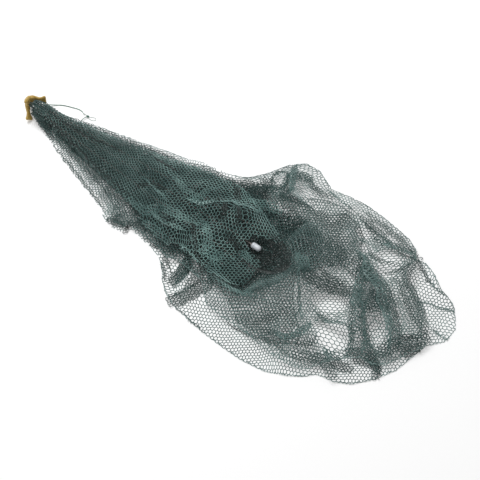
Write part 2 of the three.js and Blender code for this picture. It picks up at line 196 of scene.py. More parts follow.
def curve_through(points, count):
    """Cubic through the points, evenly stepped by chord; its slope at each is that of its neighbours."""
    points = np.asarray(points, float)
    chord = distance_along(points)
    slope = np.gradient(points, chord, axis=0)
    at = np.linspace(0, chord[-1], count)
    k = np.clip(np.searchsorted(chord, at, side="right") - 1, 0, len(chord) - 2)
    gap = (chord[k + 1] - chord[k])[:, None]
    t = (at - chord[k])[:, None] / gap
    return ((2 * t**3 - 3 * t**2 + 1) * points[k] + (t**3 - 2 * t**2 + t) * gap * slope[k]
            + (3 * t**2 - 2 * t**3) * points[k + 1] + (t**3 - t**2) * gap * slope[k + 1])


def round_about(run, angle):
    """Unit vectors square to run at each angle: cos a side + sin a top, where side is level."""
    side = unit(np.cross([0, 0, 1], run))
    top = np.cross(run, side)
    return np.cos(angle)[:, None] * side[..., None, :] + np.sin(angle)[:, None] * top[..., None, :]


def tube_points(path, radius, sides, plies=2, lay_mm=3.0):
    """Rings along a path: path + r (cos a side + sin a top), where r = radius (1 + 0.16 cos plies (a - turn))
    and turn grows by a full circle each lay_mm, so that twisted plies stand out."""
    angle = np.linspace(0, 2 * np.pi, sides, endpoint=False)
    turn = (2 * np.pi * distance_along(path) / lay_mm)[:, None]
    r = np.broadcast_to(radius, len(path))[:, None] * (1 + 0.16 * np.cos(plies * (angle - turn)))
    return path[:, None] + r[..., None] * round_about(unit(np.gradient(path, axis=0)), angle)


# %% [markdown]
# ## The free thread and the knot
# A draw thread leaves the gathered neck under the hub, lies on the floor and ends frayed. It is two-ply
# polyethylene twine, so its surface is a round bar with two swellings that turn round it. Beside it a
# short tail of the same twine stands out of the net's edge, is knotted, and runs on as a thin loop.

# %% Twine material
# Polyethylene monofilament, twisted: a waxy, slightly glossy green with paler worn plies.
# The grain stands for its fibres, which are 0.1 mm and too fine to show.
twine_look = finish("twisted_polyethylene_twine", 0.5, 1.5, "#3f6154", "#6f9685", 2.0, grain=(0.4, 0.05))

# %% Free thread
THREAD_WIDTH = 1.3
THREAD_ROUTE = [
    (7, 13.4, 8.6), (7.8, 17, 7.2), (9.1, 20, 5.6), (11.1, 23.2, 3.9), (13.9, 26.5, 2.4),
    (18, 30.3, 1.3), (22.3, 33.9, 0.8), (26.4, 36.5, 0.8), (30.3, 38.4, 0.8), (34.2, 40, 0.8),
    (38.6, 41.6, 0.8), (43.2, 43.1, 0.8), (48, 44.8, 0.8), (52.6, 46, 0.8), (56.8, 46.3, 0.8),
    (60.6, 45.6, 0.8), (63.2, 44.6, 0.8),
]
FIBRE_RADIUS = 0.14
FRAY = [(4.5, 1.8, 0.5), (6.0, 0.2, 0.2), (4.8, -1.9, 0.4), (3.2, -3.0, 0.3), (5.4, -0.9, 0.9)]


def joined_tubes(name, tubes, material):
    """One mesh of several closed tubes, each given as its array of rings."""
    faces, points, start = [], [], 0
    for rings in tubes:
        faces += [f + start for f in ring_faces(*rings.shape[:2])]
        points.append(rings.reshape(-1, 3))
        start += len(points[-1])
    return piece(name, to_part(np.concatenate(points)), faces, material, True)


def frayed_end(start):
    """Five loose fibres that splay from the end of the thread: start + share (dx, dy) in a low arch."""
    share = np.linspace(0, 1, 8)
    tubes = []
    for dx, dy, dz in FRAY:
        fibre = start + share[:, None] * np.array([dx, dy, -0.5])
        fibre[:, 2] += dz * np.sin(np.pi * share)
        tubes.append(tube_points(fibre, FIBRE_RADIUS, 5, plies=1))
    return joined_tubes("frayed_end", tubes, twine_look)


def free_thread():
    """The thread: a two-ply bar along its route that tapers at its end, where its fibres come apart."""
    path = curve_through(THREAD_ROUTE, 150)
    share = np.linspace(0, 1, len(path))
    radius = THREAD_WIDTH / 2 * np.clip((1 - share) / 0.05, 0.45, 1)
    thread = joined_tubes("free_thread", [tube_points(path, radius, 10)], twine_look)
    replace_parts(thread, "thread")
    frayed_end(path[-1])


free_thread()

# %% Knotted tail and its loop
TAIL_ROUTE = [
    (70.5, 31.9, 2), (70.8, 34, 2.5), (71.3, 36.6, 2.9), (71.8, 38.8, 2.9), (72.2, 40.6, 2.6),
]
KNOT_MIDDLE = np.array([73.2, 43.4, 2.2])
KNOT_SIZE = [0.66, 0.52, 0.75]
TAIL_RADIUS, LOOP_RADIUS, KNOT_RADIUS = 0.55, 0.27, 0.7
LOOP_ROUTE = [
    (76.3, 45.3, 0.9), (78, 46.1, 0.6), (79.9, 47.1, 0.5), (82, 48.1, 0.5), (84.2, 48.6, 0.5),
    (86.4, 47.8, 0.5), (87.2, 45.8, 0.5), (85.8, 43.8, 0.5), (83.3, 42.4, 0.5), (80.7, 41.9, 0.5),
    (78.4, 41.8, 0.6), (76.9, 42, 0.8), (75, 42.6, 1.6),
]


def knot():
    """A pulled overhand knot: the trefoil (sin t + 2 sin 2t, cos t - 2 cos 2t, -sin 3t), squeezed flat."""
    t = np.linspace(0, 2 * np.pi, 61)[:-1]
    line = np.stack([np.sin(t) + 2 * np.sin(2 * t), np.cos(t) - 2 * np.cos(2 * t), -np.sin(3 * t)], axis=1)
    line = KNOT_MIDDLE + line * KNOT_SIZE
    rings = tube_points(np.concatenate([line, line[:2]]), KNOT_RADIUS, 10, lay_mm=2.5)[1:-1]
    count, around = rings.shape[:2]
    faces = ring_faces(count + 1, around)[0] % (count * around)
    made = piece("overhand_knot", to_part(rings.reshape(-1, 3)), [faces], twine_look, True)
    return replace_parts(made, "knot")


def knotted_tail(tied):
    """Tail up to the knot and thin loop beyond it: one twine, whose middle runs through the knot."""
    path = curve_through([*TAIL_ROUTE, tuple(KNOT_MIDDLE), *LOOP_ROUTE], 150)
    share = np.linspace(0, 1, len(path))
    radius = np.interp(share, [0.2, 0.32], [TAIL_RADIUS, LOOP_RADIUS])
    made = joined_tubes("knotted_tail", [tube_points(path, radius, 8)], twine_look)
    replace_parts(made, "knot_tail", "knot_loop")


knotted_tail(knot())

# %% [markdown]
# ## The shape of the heap
# The net lies in layers. The bag goes back and forth: a floor layer, a middle layer and a top layer. The
# canopy lies folded once over the ribs. Two tables give where each layer begins and ends at stations
# along the trap, and two more give the ridges that push the heap up. They say what the solids say.

# %% Plans and ridges of the net
# Station, left edge of the floor, left fold, right fold, right edge of the top layer.
BAG = np.array([
    [8, -10, -8, 4, 11],
    [40, -21, -13, 13, 20],
    [80, -36, -18, 27, 34],
    [120, -49, -27, 35, 46],
    [160, -62, -35, 43, 56],
    [200, -76, -44, 54, 65],
    [218, -87, -49, 58, 70],
    [240, -89, -56, 62, 75],
    [252, -86, -58, 66, 77],
    [260, -76, -59, 71, 80],
    [285, -79, -62, 81, 86],
    [318, -84, -66, 83, 88],
    [332, -95, -74, 87, 97],
    [346, -111, -76, 90, 108],
    [362, -125, -78, 98, 130],
    [380, -134, -80, 112, 162],
    [400, -138, -84, 120, 180],
    [425, -142, -108, 122, 181],
    [458, -145, -112, 140, 164],
    [485, -146, -111, 147, 170],
    [515, -146, -113, 145, 173],
    [550, -141, -117, 142, 170],
    [580, -128, -114, 138, 165],
    [600, -115, -106, 132, 161],
    [612, -101, -92, 128, 158],
    [630, -97, -78, 124, 150],
    [640, -95, -74, 122, 140],
    [660, -84, -62, 112, 132],
    [680, -61, -38, 98, 117],
    [698, -30, 0, 90, 111],
    [706, 4, 22, 86, 107],
    [712, 28, 38, 82, 102],
    [724, 42, 50, 74, 86],
    [731, 52, 60, 69, 74],
])
# Station, left edge and right edge of the folded canopy.
CANOPY = np.array([
    [8, -9, 11],
    [40, -14, 14],
    [80, -19, 21],
    [120, -27, 28],
    [160, -35, 36],
    [200, -43, 46],
    [240, -53, 55],
    [275, -58, 66],
    [310, -63, 72],
    [340, -63, 76],
    [365, -66, 74],
    [385, -70, 68],
    [405, -74, 60],
    [425, -76, 53],
    [442, -71, 46],
    [454, -60, 40],
])
# Middle of each ridge, heading of its line in degrees, half length, half width and height.
BAG_RIDGES = [
    (420, -78, -8, 52, 22, 22),
    (488, -48, 45, 42, 24, 24),
    (510, 22, 95, 50, 28, 30),
    (456, 80, 150, 46, 25, 26),
    (408, 124, -65, 42, 20, 16),
    (556, 88, -28, 50, 21, 18),
    (636, 30, -48, 50, 21, 20),
    (606, -10, -82, 60, 20, 18),
    (634, 92, -85, 36, 19, 12),
    (678, 46, -25, 30, 18, 10),
    (543, -72, 80, 34, 19, 12),
]
CANOPY_RIDGES = [
    (372, -24, 60, 42, 21, 16),
    (398, 40, 25, 40, 18, 10),
    (336, 24, -20, 40, 18, 9),
    (262, 14, -8, 50, 17, 8),
    (300, -30, -6, 44, 17, 9),
    (210, -20, -14, 60, 15, 6),
]
LAYER_STEP = 4.0     # from one layer of the bag to the next
RIDGE_EASE = 30.0    # a ridge dies away over this much cloth at both sides


def ease(value):
    """Smooth step from 0 to 1: v v (3 - 2 v)."""
    v = np.clip(value, 0, 1)
    return v * v * (3 - 2 * v)


def bag(column, x):
    """One edge or fold of the bag at a station, between the rows of its table."""
    return np.interp(x, BAG[:, 0], BAG[:, column])


def canopy(column, x):
    """The same for the canopy."""
    return np.interp(x, CANOPY[:, 0], CANOPY[:, column])


def ridge_height(rows, x, y):
    """Sum over the ridges of height exp(-along ** 4 - across ** 2), in units of half length and width."""
    total = np.zeros_like(x)
    for cx, cy, heading, half_length, half_width, height in rows:
        cos, sin = np.cos(np.radians(heading)), np.sin(np.radians(heading))
        along = ((x - cx) * cos + (y - cy) * sin) / half_length
        across = ((y - cy) * cos - (x - cx) * sin) / half_width
        total += height * np.exp(-along**4 - across**2)
    return total


# %% [markdown]
# The level of each layer follows from these tables. The bed of the ribs stays flat, the ridges die away
# towards the folds, and the neck of the net is lifted where it leaves the hub.

# %% Levels of the layers
NECK_LIFT, NECK_START, NECK_RUN = 5.5, 8, 46
CLEAR = 0.6                           # of the strands over what they lie on
BED_MIDDLE, BED_HALF_WIDTH, BED_END, BED_EASE = 1, 56, 450, 26
RIB_TOP = ([-2, 429], [22.2, 16.6])   # stations and heights of the highest rib's ends
RIB_COVER = 1.8                       # from the highest rib's line to its skin, and a little clear


def floor_level(x, y):
    """Just over the floor, and NECK_LIFT higher at the hub; y is there because all levels take it."""
    return NECK_LIFT * (1 - ease((x - NECK_START) / NECK_RUN)) + CLEAR


def fade(y, left, right):
    """0 at both edges of a layer and 1 from RIDGE_EASE inside them."""
    return ease((y - left) / RIDGE_EASE) * ease((right - y) / RIDGE_EASE)


def bag_rise(x, y, left, right):
    """Ridges of the bag, faded at both sides and absent on the flat bed of the ribs."""
    beside = ease((np.abs(y - BED_MIDDLE) - BED_HALF_WIDTH) / BED_EASE)
    beyond = ease((x - BED_END) / BED_EASE)
    return ridge_height(BAG_RIDGES, x, y) * fade(y, left, right) * np.maximum(beside, beyond)


def middle_level(x, y):
    """One layer up, with half the rise of the ridges."""
    return floor_level(x, y) + LAYER_STEP + 0.5 * bag_rise(x, y, bag(2, x), bag(3, x))


def top_level(x, y):
    """Two layers up, with the ridges, and down to the floor outside the fold of the layers below."""
    fold, edge = bag(3, x) + LAYER_STEP, bag(4, x)
    fall = ease((y - fold) / (edge - fold)) * ease((x - 20) / 40)
    return floor_level(x, y) + (2 * LAYER_STEP + bag_rise(x, y, bag(2, x), edge)) * (1 - fall)


def canopy_level(x, y, layer):
    """On the bag at its two edges and on the ribs between them; layer is 0 below and 1 above."""
    left, right = canopy(1, x), canopy(2, x)
    across = np.clip((2 * y - left - right) / (right - left), -1, 1)
    bed = top_level(x, y) + LAYER_STEP + CLEAR
    rib_top = np.interp(x, *RIB_TOP) + RIB_COVER
    over_ribs = np.maximum(0, rib_top + 2 - bed) * (1 - across**4)
    ridges = (0.5 + 0.5 * layer) * fade(y, left, right) * ridge_height(CANOPY_RIDGES, x, y)
    return bed + over_ribs + layer * LAYER_STEP + ridges


# %% [markdown]
# ## Folding a net
# Netting folds softly: along a crease it doubles back, so three layers lie over each other in a band and
# the cloth beside it is drawn open. A pleat does that to any plan: with d the signed distance from the
# crease and w the pleat's width, a point moves by -2 w tanh(d / 0.72 w) exp(-(d / PLEAT_REACH)²) across
# it. Where that is steeper than the plan itself the cloth runs backwards, which makes the fold, and far
# away nothing moves.

# %% Distance to a line, and pleats
PLEAT_REACH = 50.0   # mm: how far from a crease the cloth still moves
TURN_BACK = 1.6      # mm: how far inside the rim the cloth turns back


def to_line(points, line):
    """Signed distance to the nearest point of a polyline (left is positive), the share of its length there
    and the unit vector to its left."""
    line = np.asarray(line, float)
    a, run = line[:-1], np.diff(line, axis=0)
    length = np.linalg.norm(run, axis=1)
    rel = points[:, None] - a
    t = np.clip((rel * run).sum(2) / length**2, 0, 1)
    away = rel - t[..., None] * run
    far = np.linalg.norm(away, axis=2)
    k = far.argmin(1)
    rows = np.arange(len(points))
    normal = np.stack([-run[k, 1], run[k, 0]], axis=1) / length[k, None]
    away, far = away[rows, k], far[rows, k]
    side = np.where((away * normal).sum(1) < 0, -1.0, 1.0)
    left = np.where(far[:, None] > 1e-6, away * side[:, None] / np.maximum(far, 1e-6)[:, None], normal)
    share = (np.r_[0, np.cumsum(length)][k] + t[rows, k] * length[k]) / length.sum()
    return far * side, share, left


def at_both_ends(share):
    """1 in the middle half of a line, and down to 0 at its ends."""
    return ease(share / 0.25) * ease((1 - share) / 0.25)


def pleat(plan, lift, line, width, height):
    """Moves a plan across one crease and lifts what ends up on top; dies away at both its ends."""
    d, share, left = to_line(plan, line)
    taper = at_both_ends(share)
    step = np.tanh(d / (0.72 * width))
    moved = plan - (2 * width * taper * step * np.exp(-(d / PLEAT_REACH) ** 2))[:, None] * left
    return moved, lift + height * taper * (1 + step) * np.exp(-(d / (3.5 * width)) ** 2)


def inside(points, outline):
    """True where a line from the point to the right crosses the outline an odd number of times."""
    a, b = outline, np.roll(outline, -1, axis=0)
    x, y = points[:, :1], points[:, 1:]
    spans = (a[:, 1] > y) != (b[:, 1] > y)
    rise = np.where(a[:, 1] == b[:, 1], 1.0, b[:, 1] - a[:, 1])
    cross = a[:, 0] + (y - a[:, 1]) * (b[:, 0] - a[:, 0]) / rise
    return (spans & (x < cross)).sum(1) % 2 == 1


def turned_edge(plan, outline, ragged):
    """Signed distance t inside the outline becomes sqrt(t² + TURN_BACK²) - TURN_BACK, so the rim turns back
    in, except where ragged is 1."""
    closed = np.concatenate([outline, outline[:1]])
    d, _, left = to_line(plan, closed)
    within = inside(plan, outline)
    t = np.where(within, np.abs(d), -np.abs(d))
    inward = left * np.sign(d)[:, None] * np.where(within, 1.0, -1.0)[:, None]
    shift = (np.sqrt(t**2 + TURN_BACK**2) - TURN_BACK - t) * (1 - ease(t / (6 * TURN_BACK)))
    return plan + ((1 - ragged) * shift)[:, None] * inward, t


# %% [markdown]
# ## Knitting the net
# Knotless netting is a honeycomb of short strands, three at every joint. The joints are two interleaved
# triangular lattices, so each joint of the first has three partners in the second, found by index alone.
# Every joint gets four points, three between its strands and one on top, and a strand is the skin
# between the points of its two joints. So the whole net is one closed surface without any end showing.

# %% Honeycomb of strands
PITCH = 5.1        # between the parallel strands of a cell
STRAND_WIDTH = 1.0
STRAND_HEIGHT = 0.75
DIRECTIONS = np.radians([30, 150, 270])   # from a first-lattice joint to its three partners


def lattice(low, high, angle):
    """Joints that cover a box of cloth, (2, I, J, 2): those at i (p, 0) + j (p / 2, p sqrt 3 / 2), with p the
    pitch, and their partners, all turned by the angle."""
    low, high = np.asarray(low, float), np.asarray(high, float)
    radius = np.linalg.norm(high - low) / 2 + 3 * PITCH
    rows = int(radius / (PITCH * np.sqrt(3) / 2)) + 1
    columns = int(radius / PITCH + rows / 2) + 1
    i, j = np.meshgrid(np.arange(-columns, columns + 1), np.arange(-rows, rows + 1), indexing="ij")
    first = np.stack([PITCH * (i + j / 2), PITCH * np.sqrt(3) / 2 * j], axis=-1)
    partner = first + PITCH / np.sqrt(3) * np.array([np.cos(DIRECTIONS[0]), np.sin(DIRECTIONS[0])])
    turn = np.array([[np.cos(angle), np.sin(angle)], [-np.sin(angle), np.cos(angle)]])
    return np.stack([first, partner]) @ turn + (low + high) / 2


def partners(joints):
    """For both lattices the three partners of each joint, (2, 3, I, J, ...)."""
    first, second = joints
    of_first = [second, np.roll(second, 1, axis=0), np.roll(second, 1, axis=1)]
    of_second = [first, np.roll(first, -1, axis=0), np.roll(first, -1, axis=1)]
    return np.stack([np.stack(of_first), np.stack(of_second)])


def joint_frames(joints):
    """Two tangents and the normal at each joint, from how its three strands lie in space."""
    apart = partners(joints) - joints[:, None]
    facing = np.stack([np.cos(DIRECTIONS), np.sin(DIRECTIONS)], axis=1)
    sign = np.array([1.0, -1.0])[:, None, None, None]
    u = sign * np.einsum("lkijc,k->lijc", apart, facing[:, 0])
    v = sign * np.einsum("lkijc,k->lijc", apart, facing[:, 1])
    normal = unit(np.cross(u, v))
    first = unit(unit(u) + np.cross(unit(v), normal))
    return first, np.cross(normal, first), normal


def knit(joints, keep):
    """Points (4 for each kept joint) and faces of the net on joints (2, I, J, 3) where keep is true."""
    first, second, normal = joint_frames(joints)
    reach = STRAND_WIDTH / np.sqrt(3)
    points = []
    for lattice_index, start in ((0, 90), (1, -90)):
        at, t1, t2, n = (a[lattice_index] for a in (joints, first, second, normal))
        for angle in np.radians([start, start + 120, start + 240]):
            points.append(at + reach * (np.cos(angle) * t1 + np.sin(angle) * t2) - STRAND_HEIGHT / 3 * n)
        points.append(at + 2 * STRAND_HEIGHT / 3 * n)
    points = np.stack(points).reshape(2, 4, *keep.shape[1:], 3)
    ids = np.full(keep.shape, -1)
    ids[keep] = np.arange(keep.sum())
    near = partners(ids)
    quads, caps = [], []
    for k in range(3):
        strand = (ids[0] >= 0) & (near[0, k] >= 0)
        a, b = 4 * ids[0][strand], 4 * near[0, k][strand]
        la, ra, lb, rb = a + k, a + (k + 2) % 3, b + (k + 2) % 3, b + k
        quads += [(la, a + 3, b + 3, lb), (ra, rb, b + 3, a + 3), (la, lb, rb, ra)]
        end_a = 4 * ids[0][(ids[0] >= 0) & (near[0, k] < 0)]
        end_b = 4 * ids[1][(ids[1] >= 0) & (near[1, k] < 0)]
        caps += [(end_a + (k + 2) % 3, end_a + k, end_a + 3), (end_b + (k + 2) % 3, end_b + k, end_b + 3)]
    base = 4 * np.arange(keep.sum())
    caps.append((base, base + 2, base + 1))
    quads = np.concatenate([np.stack(q, axis=1) for q in quads])
    caps = np.concatenate([np.stack(c, axis=1) for c in caps])
    return np.moveaxis(points, 1, 3)[keep].reshape(-1, 3), [quads, caps]


# %% [markdown]
# Each sheet is one mesh on the part's body and takes the place of the part's net solids. The strands
# make up a little under half of a net's area.


def netting(name, points, faces, length, look, slot, held, *nodes):
    """One piece of net on the part's body, in place of the named nodes. length is not used."""
    place = to_part(points)
    sheet = piece(name, place, faces, look)
    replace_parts(sheet, *nodes)


# %% [markdown]
# ## Where the net folds
# Each fold is a line on the plan. Long soft ones run from the hub down the cone. Legs of three and more
# layers run out through the loose bag like rays, and short ones crumple the rim. Each row is a line, the
# width of the pleat and how high it stacks.

# %% Fold lines
CONE_FOLDS = [
    ([(14, -3), (67, -11), (116, -21), (166, -31), (219, -38), (262, -42)], 2.4, 0.35),
    ([(14, 2), (60, 1), (120, 2), (190, 6), (262, 14)], 1.8, 0.3),
    ([(60, 10), (130, 24), (218, 31), (262, 30)], 1.8, 0.3),
    ([(16, 0), (80, -8), (150, -14), (225, -18)], 1.5, 0.25),
]
HEAP_FOLDS = [
    ([(224, -4), (256, -11), (290, -16)], 2.6, 0.6),
    ([(268, -44), (300, -46), (342, -43)], 3.0, 0.7),
    ([(336, -58), (366, -66), (400, -74)], 4.5, 0.8),
    ([(290, 0), (325, 9), (341, 23), (362, 40), (392, 24)], 3.4, 0.8),
    ([(336, 74), (375, 82), (418, 88)], 5.0, 0.8),
    ([(364, 30), (380, 48), (396, 53), (420, 74)], 3.5, 0.8),
]
LEG_FOLDS = [
    ([(540, 96), (565, 85), (598, 68), (621, 55), (646, 34), (662, 16), (674, -4), (680, -30)], 7.5, 1.2),
    ([(556, 92), (573, 73), (584, 45), (596, 21), (611, -14), (622, -44), (618, -84), (616, -104)],
     7.0, 1.1),
    ([(598, 24), (620, 8), (642, -19), (652, -46)], 5.0, 1.0),
    ([(497, 18), (513, -6), (529, -25), (541, -44), (546, -62)], 2.6, 0.8),
    ([(520, -94), (549, -90), (560, -70), (570, -30)], 5.0, 1.0),
    ([(550, -26), (580, -30), (616, -24)], 3.2, 0.9),
    ([(584, -42), (600, -62), (614, -80)], 4.5, 1.0),
]
RIM_FOLDS = [
    ([(355, -50), (366, -72), (366, -92), (363, -114)], 5.0, 1.1),
    ([(396, -78), (388, -96), (382, -114), (374, -132)], 1.8, 0.8),
    ([(387, 178), (391, 158), (404, 136), (418, 113), (424, 90)], 6.5, 1.2),
    ([(446, 158), (480, 149), (516, 146)], 3.0, 0.8),
    ([(566, 122), (593, 131), (618, 136), (634, 126)], 4.5, 1.0),
    ([(614, 150), (626, 130), (625, 104), (643, 84), (666, 78), (684, 60), (698, 30)], 4.5, 1.0),
]
LOBE_FOLDS = [
    ([(660, 76), (690, 88), (724, 102)], 2.4, 0.6),
    ([(654, 120), (672, 113), (694, 111)], 2.2, 0.6),
    ([(700, 56), (718, 53), (736, 54)], 2.2, 0.6),
]
# Where the net is drawn aside and thin: middle, heading in degrees, half length and half width, then how
# much it opens along the heading and across it.
WINDOWS = [
    (645, 0, -40, 24, 10, 1.3, 1.3),
    (656, 34, -50, 18, 6, 1.2, 1.2),
    (441, 120, -25, 20, 11, 0.8, 0.8),
    (389, 121, 110, 14, 8, 0.4, 0.4),
    (645, 100, -35, 20, 9, 1.0, 1.0),
    (552, 45, 60, 10, 7, 0.5, 0.5),
    (560, 95, 30, 12, 9, 1.2, 1.2),
    (700, 62, -40, 20, 16, 0.3, 0.3),
]
FLOOR_WINDOWS = [
    (598, -46, 6, 26, 18, 0.9, 0.1),
    (594, 106, 60, 22, 18, 0.8, 0.1),
    (568, -2, 30, 22, 14, 0.4, 0.1),
    (417, -100, 30, 14, 8, 0.3, 0.3),
]
# Where the top layer is drawn right away, so that the floor layer shows alone.
OPENINGS = [
    [(544, -14), (546, 0), (556, 7), (578, 16), (591, 9), (590, -5), (575, -14), (556, -17)],
    [(560, -42), (574, -36), (592, -30), (611, -27), (626, -44), (624, -56), (610, -66), (594, -64),
     (578, -47)],
    [(574, 100), (578, 112), (590, 121), (606, 121), (615, 104), (616, 86), (609, 75), (598, 76),
     (590, 88)],
    [(551, 90), (556, 102), (568, 104), (571, 96), (564, 89)],
    [(532, 112), (530, 124), (540, 130), (551, 125), (552, 114), (542, 108)],
]


def part(plan, windows):
    """Opens the cells round some middles: with rho the distance in half sizes, the distance along the
    heading grows by 1 + a exp(-rho²) and the one across it by 1 + b exp(-rho²)."""
    for cx, cy, heading, half_length, half_width, lengthwise, crosswise in windows:
        cos, sin = np.cos(np.radians(heading)), np.sin(np.radians(heading))
        ahead, left = np.array([cos, sin]), np.array([-sin, cos])
        along, across = (plan - [cx, cy]) @ ahead, (plan - [cx, cy]) @ left
        near = np.exp(-((along / half_length) ** 2) - (across / half_width) ** 2)
        plan = plan + np.outer(lengthwise * near * along, ahead) + np.outer(crosswise * near * across, left)
    return plan


def side_of(column, low=0, high=800):
    """One column of the bag's plan between two stations, as points."""
    rows = BAG[(BAG[:, 0] >= low) & (BAG[:, 0] <= high)]
    return rows[:, [0, column]]


def outline_of(*sides):
    """Closed outline from points up one side, round the end and down the other side."""
    return np.concatenate(sides).astype(float)


# %% [markdown]
# ## The net's material
# The netting is knitted polyethylene, dyed a grey green. Its filaments are smooth, so that strands that
# face the light shine pale, and those inside the heap stay nearly black. The dye is uneven from batch to
# batch, which shows as slow drifts of colour. Net inside the heap gets a darker copy of that colour as
# painted shade, the deepest creases a darker one still, and the upper canopy a paler copy as painted light.

# %% Netting materials


def paint_shade_along_x(material, stops):
    """Painted shade: multiplies the base colour by a grey that changes along X; stops are metres and a grey.
    """
    (first, first_grey), *middle, (last, last_grey) = stops
    place = add_node(material, "ShaderNodeTexCoord")
    split = add_node(material, "ShaderNodeSeparateXYZ", inputs={"Vector": place.outputs["Object"]})
    share = add_node(material, "ShaderNodeMapRange", inputs={
        "Value": split.outputs["X"], "From Min": first, "From Max": last})
    ramp = add_node(material, "ShaderNodeValToRGB", inputs={"Fac": share.outputs["Result"]})
    for stop, grey in zip(ramp.color_ramp.elements, (first_grey, last_grey)):
        stop.color = linear(grey)
    for x, grey in middle:
        ramp.color_ramp.elements.new((x - first) / (last - first)).color = linear(grey)
    base = material.node_tree.nodes["Principled BSDF"].inputs["Base Color"]
    mix = add_node(material, "ShaderNodeMixRGB", {"blend_type": "MULTIPLY"}, {
        "Fac": 1.0, "Color1": base.links[0].from_socket, "Color2": ramp.outputs["Color"]})
    material.node_tree.links.new(mix.outputs["Color"], base)


def netting_look(name, low, high, patch_mm):
    """Dyed knitted polyethylene. The knit repeats each 0.3 mm, too fine to show, so its grain is coarser."""
    return finish("knitted_polyethylene_netting" + name, 0.42, 1.51, low, high, patch_mm, grain=(0.5, 0.06))


net_look = netting_look("", "#506a67", "#78928f", 35.0)
# Painted shade: a darker copy of the netting's colour, for net inside the heap.
painted_shade_netting = netting_look("_with_painted_shade", "#2c403e", "#445e5b", 28.0)
# Painted light: a paler copy, for the upper canopy and for rims that should look lit.
painted_light_netting = netting_look("_with_painted_light", "#62817e", "#95b7b2", 30.0)
# Painted shade: the darkest copy, for the lower canopy and the creases.
painted_deep_shade_netting = netting_look("_with_painted_deep_shade", "#19201e", "#2b3836", 18.0)
# Painted shade on the paler netting: its colour is darkened along X, most towards the hub, a little at the
# canopy's free end, and not over the capped rib.
paint_shade_along_x(painted_light_netting, [
    (-0.36, "#c4c4c4"), (-0.20, "#d0d0d0"), (-0.10, "#f0f0f0"), (0.06, "#ffffff"), (0.11, "#d8d8d8")])

# %% [markdown]
# ## Laying the sheets
# Laying one sheet is: spread the lattice, draw it together towards the hub, fold it, turn its rim back,
# and give every joint its height. What the folds below lift, the sheets above climb.

# %% Laying one sheet
NECK_SHARE, NECK_END = 0.9, 110.0   # the cloth is drawn in to this share of its width at the hub
CONE_END, CONE_EASE = 215, 110      # beyond the cone the cloth lies slacker
MARGIN = 40.0                       # cloth beyond the outline that the folds may draw in
DRIFT = 2.6                         # of the mesh's lines
# Rims that are turned back all along, ragged in the cone alone, and ragged all along.
TURNED, RAGGED_CONE, RAGGED = (-100, 0), (300, 330), (800, 900)


def wander(plan, seed):
    """Slow drift of the mesh: five sine waves of 30 to 170 mm, and 0.2 mm of chance at each joint."""
    chance = np.random.default_rng(seed)
    phase = chance.uniform(0, 2 * np.pi, (5, 2))
    for k, wave in enumerate((170.0, 120.0, 80.0, 50.0, 30.0)):
        turn = 2 * np.pi * (plan[:, ::-1] * [1, -1] + plan * 0.4) / wave + phase[k]
        plan = plan + DRIFT / (k + 1) * np.sin(turn)
    return plan + chance.normal(0, 0.2, plan.shape)


def climb(plan, folds):
    """Height that one folded sheet below adds: 2 height exp(-(d / (width + 4))²) at each fold."""
    total = np.zeros(len(plan))
    for line, width, height in folds:
        d, share, _ = to_line(plan, line)
        total += 2 * height * at_both_ends(share) * np.exp(-(d / (width + 4)) ** 2)
    return total


def lay(outline, angle, level, folds, seed, drawn, below=0.0, windows=(), openings=(), rim=TURNED):
    """Points, faces and length of one sheet. drawn is dx / du, from cloth to plan, in the cone and beyond
    it. A joint's height is level + its own fold + below times what the sheets below add. rim gives the two
    stations between which the rim changes from ragged to turned back."""
    x = np.linspace(-60, 800, 431)
    pace = drawn[1] + (drawn[0] - drawn[1]) * (1 - ease((x - CONE_END) / CONE_EASE))
    u = np.cumsum((x[1] - x[0]) / pace)
    low, high = outline.min(0) - MARGIN, outline.max(0) + MARGIN
    ends = np.interp([low[0], high[0]], x, u)
    grid = lattice([ends[0], low[1]], [ends[1], high[1]], np.radians(angle))
    cloth = wander(grid.reshape(-1, 2), seed)
    plan = np.stack([np.interp(cloth[:, 0], u, x), cloth[:, 1]], axis=1)
    plan[:, 1] *= NECK_SHARE + (1 - NECK_SHARE) * ease(plan[:, 0] / NECK_END)
    near = ((plan > low) & (plan < high)).all(1)
    flat, lift = plan[near], np.zeros(near.sum())
    for line, width, height in folds:
        flat, lift = pleat(flat, lift, line, width, height)
    flat = part(flat, windows)
    ragged = 1 - ease((flat[:, 0] - rim[0]) / (rim[1] - rim[0]))
    flat, depth = turned_edge(flat, outline, ragged)
    height = level(flat[:, 0], flat[:, 1]) + lift + below * climb(flat, folds) + np.clip(-depth, 0, 1.5)
    joints, keep = np.zeros((len(plan), 3)), np.zeros(len(plan), bool)
    joints[near] = np.column_stack([flat, np.maximum(height, 0.5)])
    fray = np.random.default_rng(seed + 50).uniform(-1.5, 2.5, len(depth))
    keep[near] = depth > -3.5 * (1 - ragged) + fray * ragged
    for opening in openings:
        keep[near] &= ~inside(flat, np.array(opening, float))
    points, faces = knit(joints.reshape(*grid.shape[:3], 3), keep.reshape(grid.shape[:3]))
    return points, faces, np.ptp(outline[:, 0]) / 1000


# %% [markdown]
# ## The bag
# The floor layer lies flat and shows alone along the left rim and in the lobe at the far end. The middle
# layer ends where the heap turns thin, so that beyond it the floor shows through. The top layer carries
# the ridges and the deepest folds. In the cone all of them are drawn together along its length, which
# pulls the cells into narrow rungs across it.

# %% Floor layer
FLOOR_OUTLINE = outline_of(side_of(1), side_of(4, 631)[::-1], side_of(3, 0, 600)[::-1])
bag_floor = lay(
    FLOOR_OUTLINE, 32, floor_level, RIM_FOLDS[:2] + LOBE_FOLDS, 1, drawn=(0.72, 0.94),
    windows=FLOOR_WINDOWS, rim=RAGGED_CONE)
netting("bag_floor", *bag_floor, net_look, "netting", "laid", "net_bag")

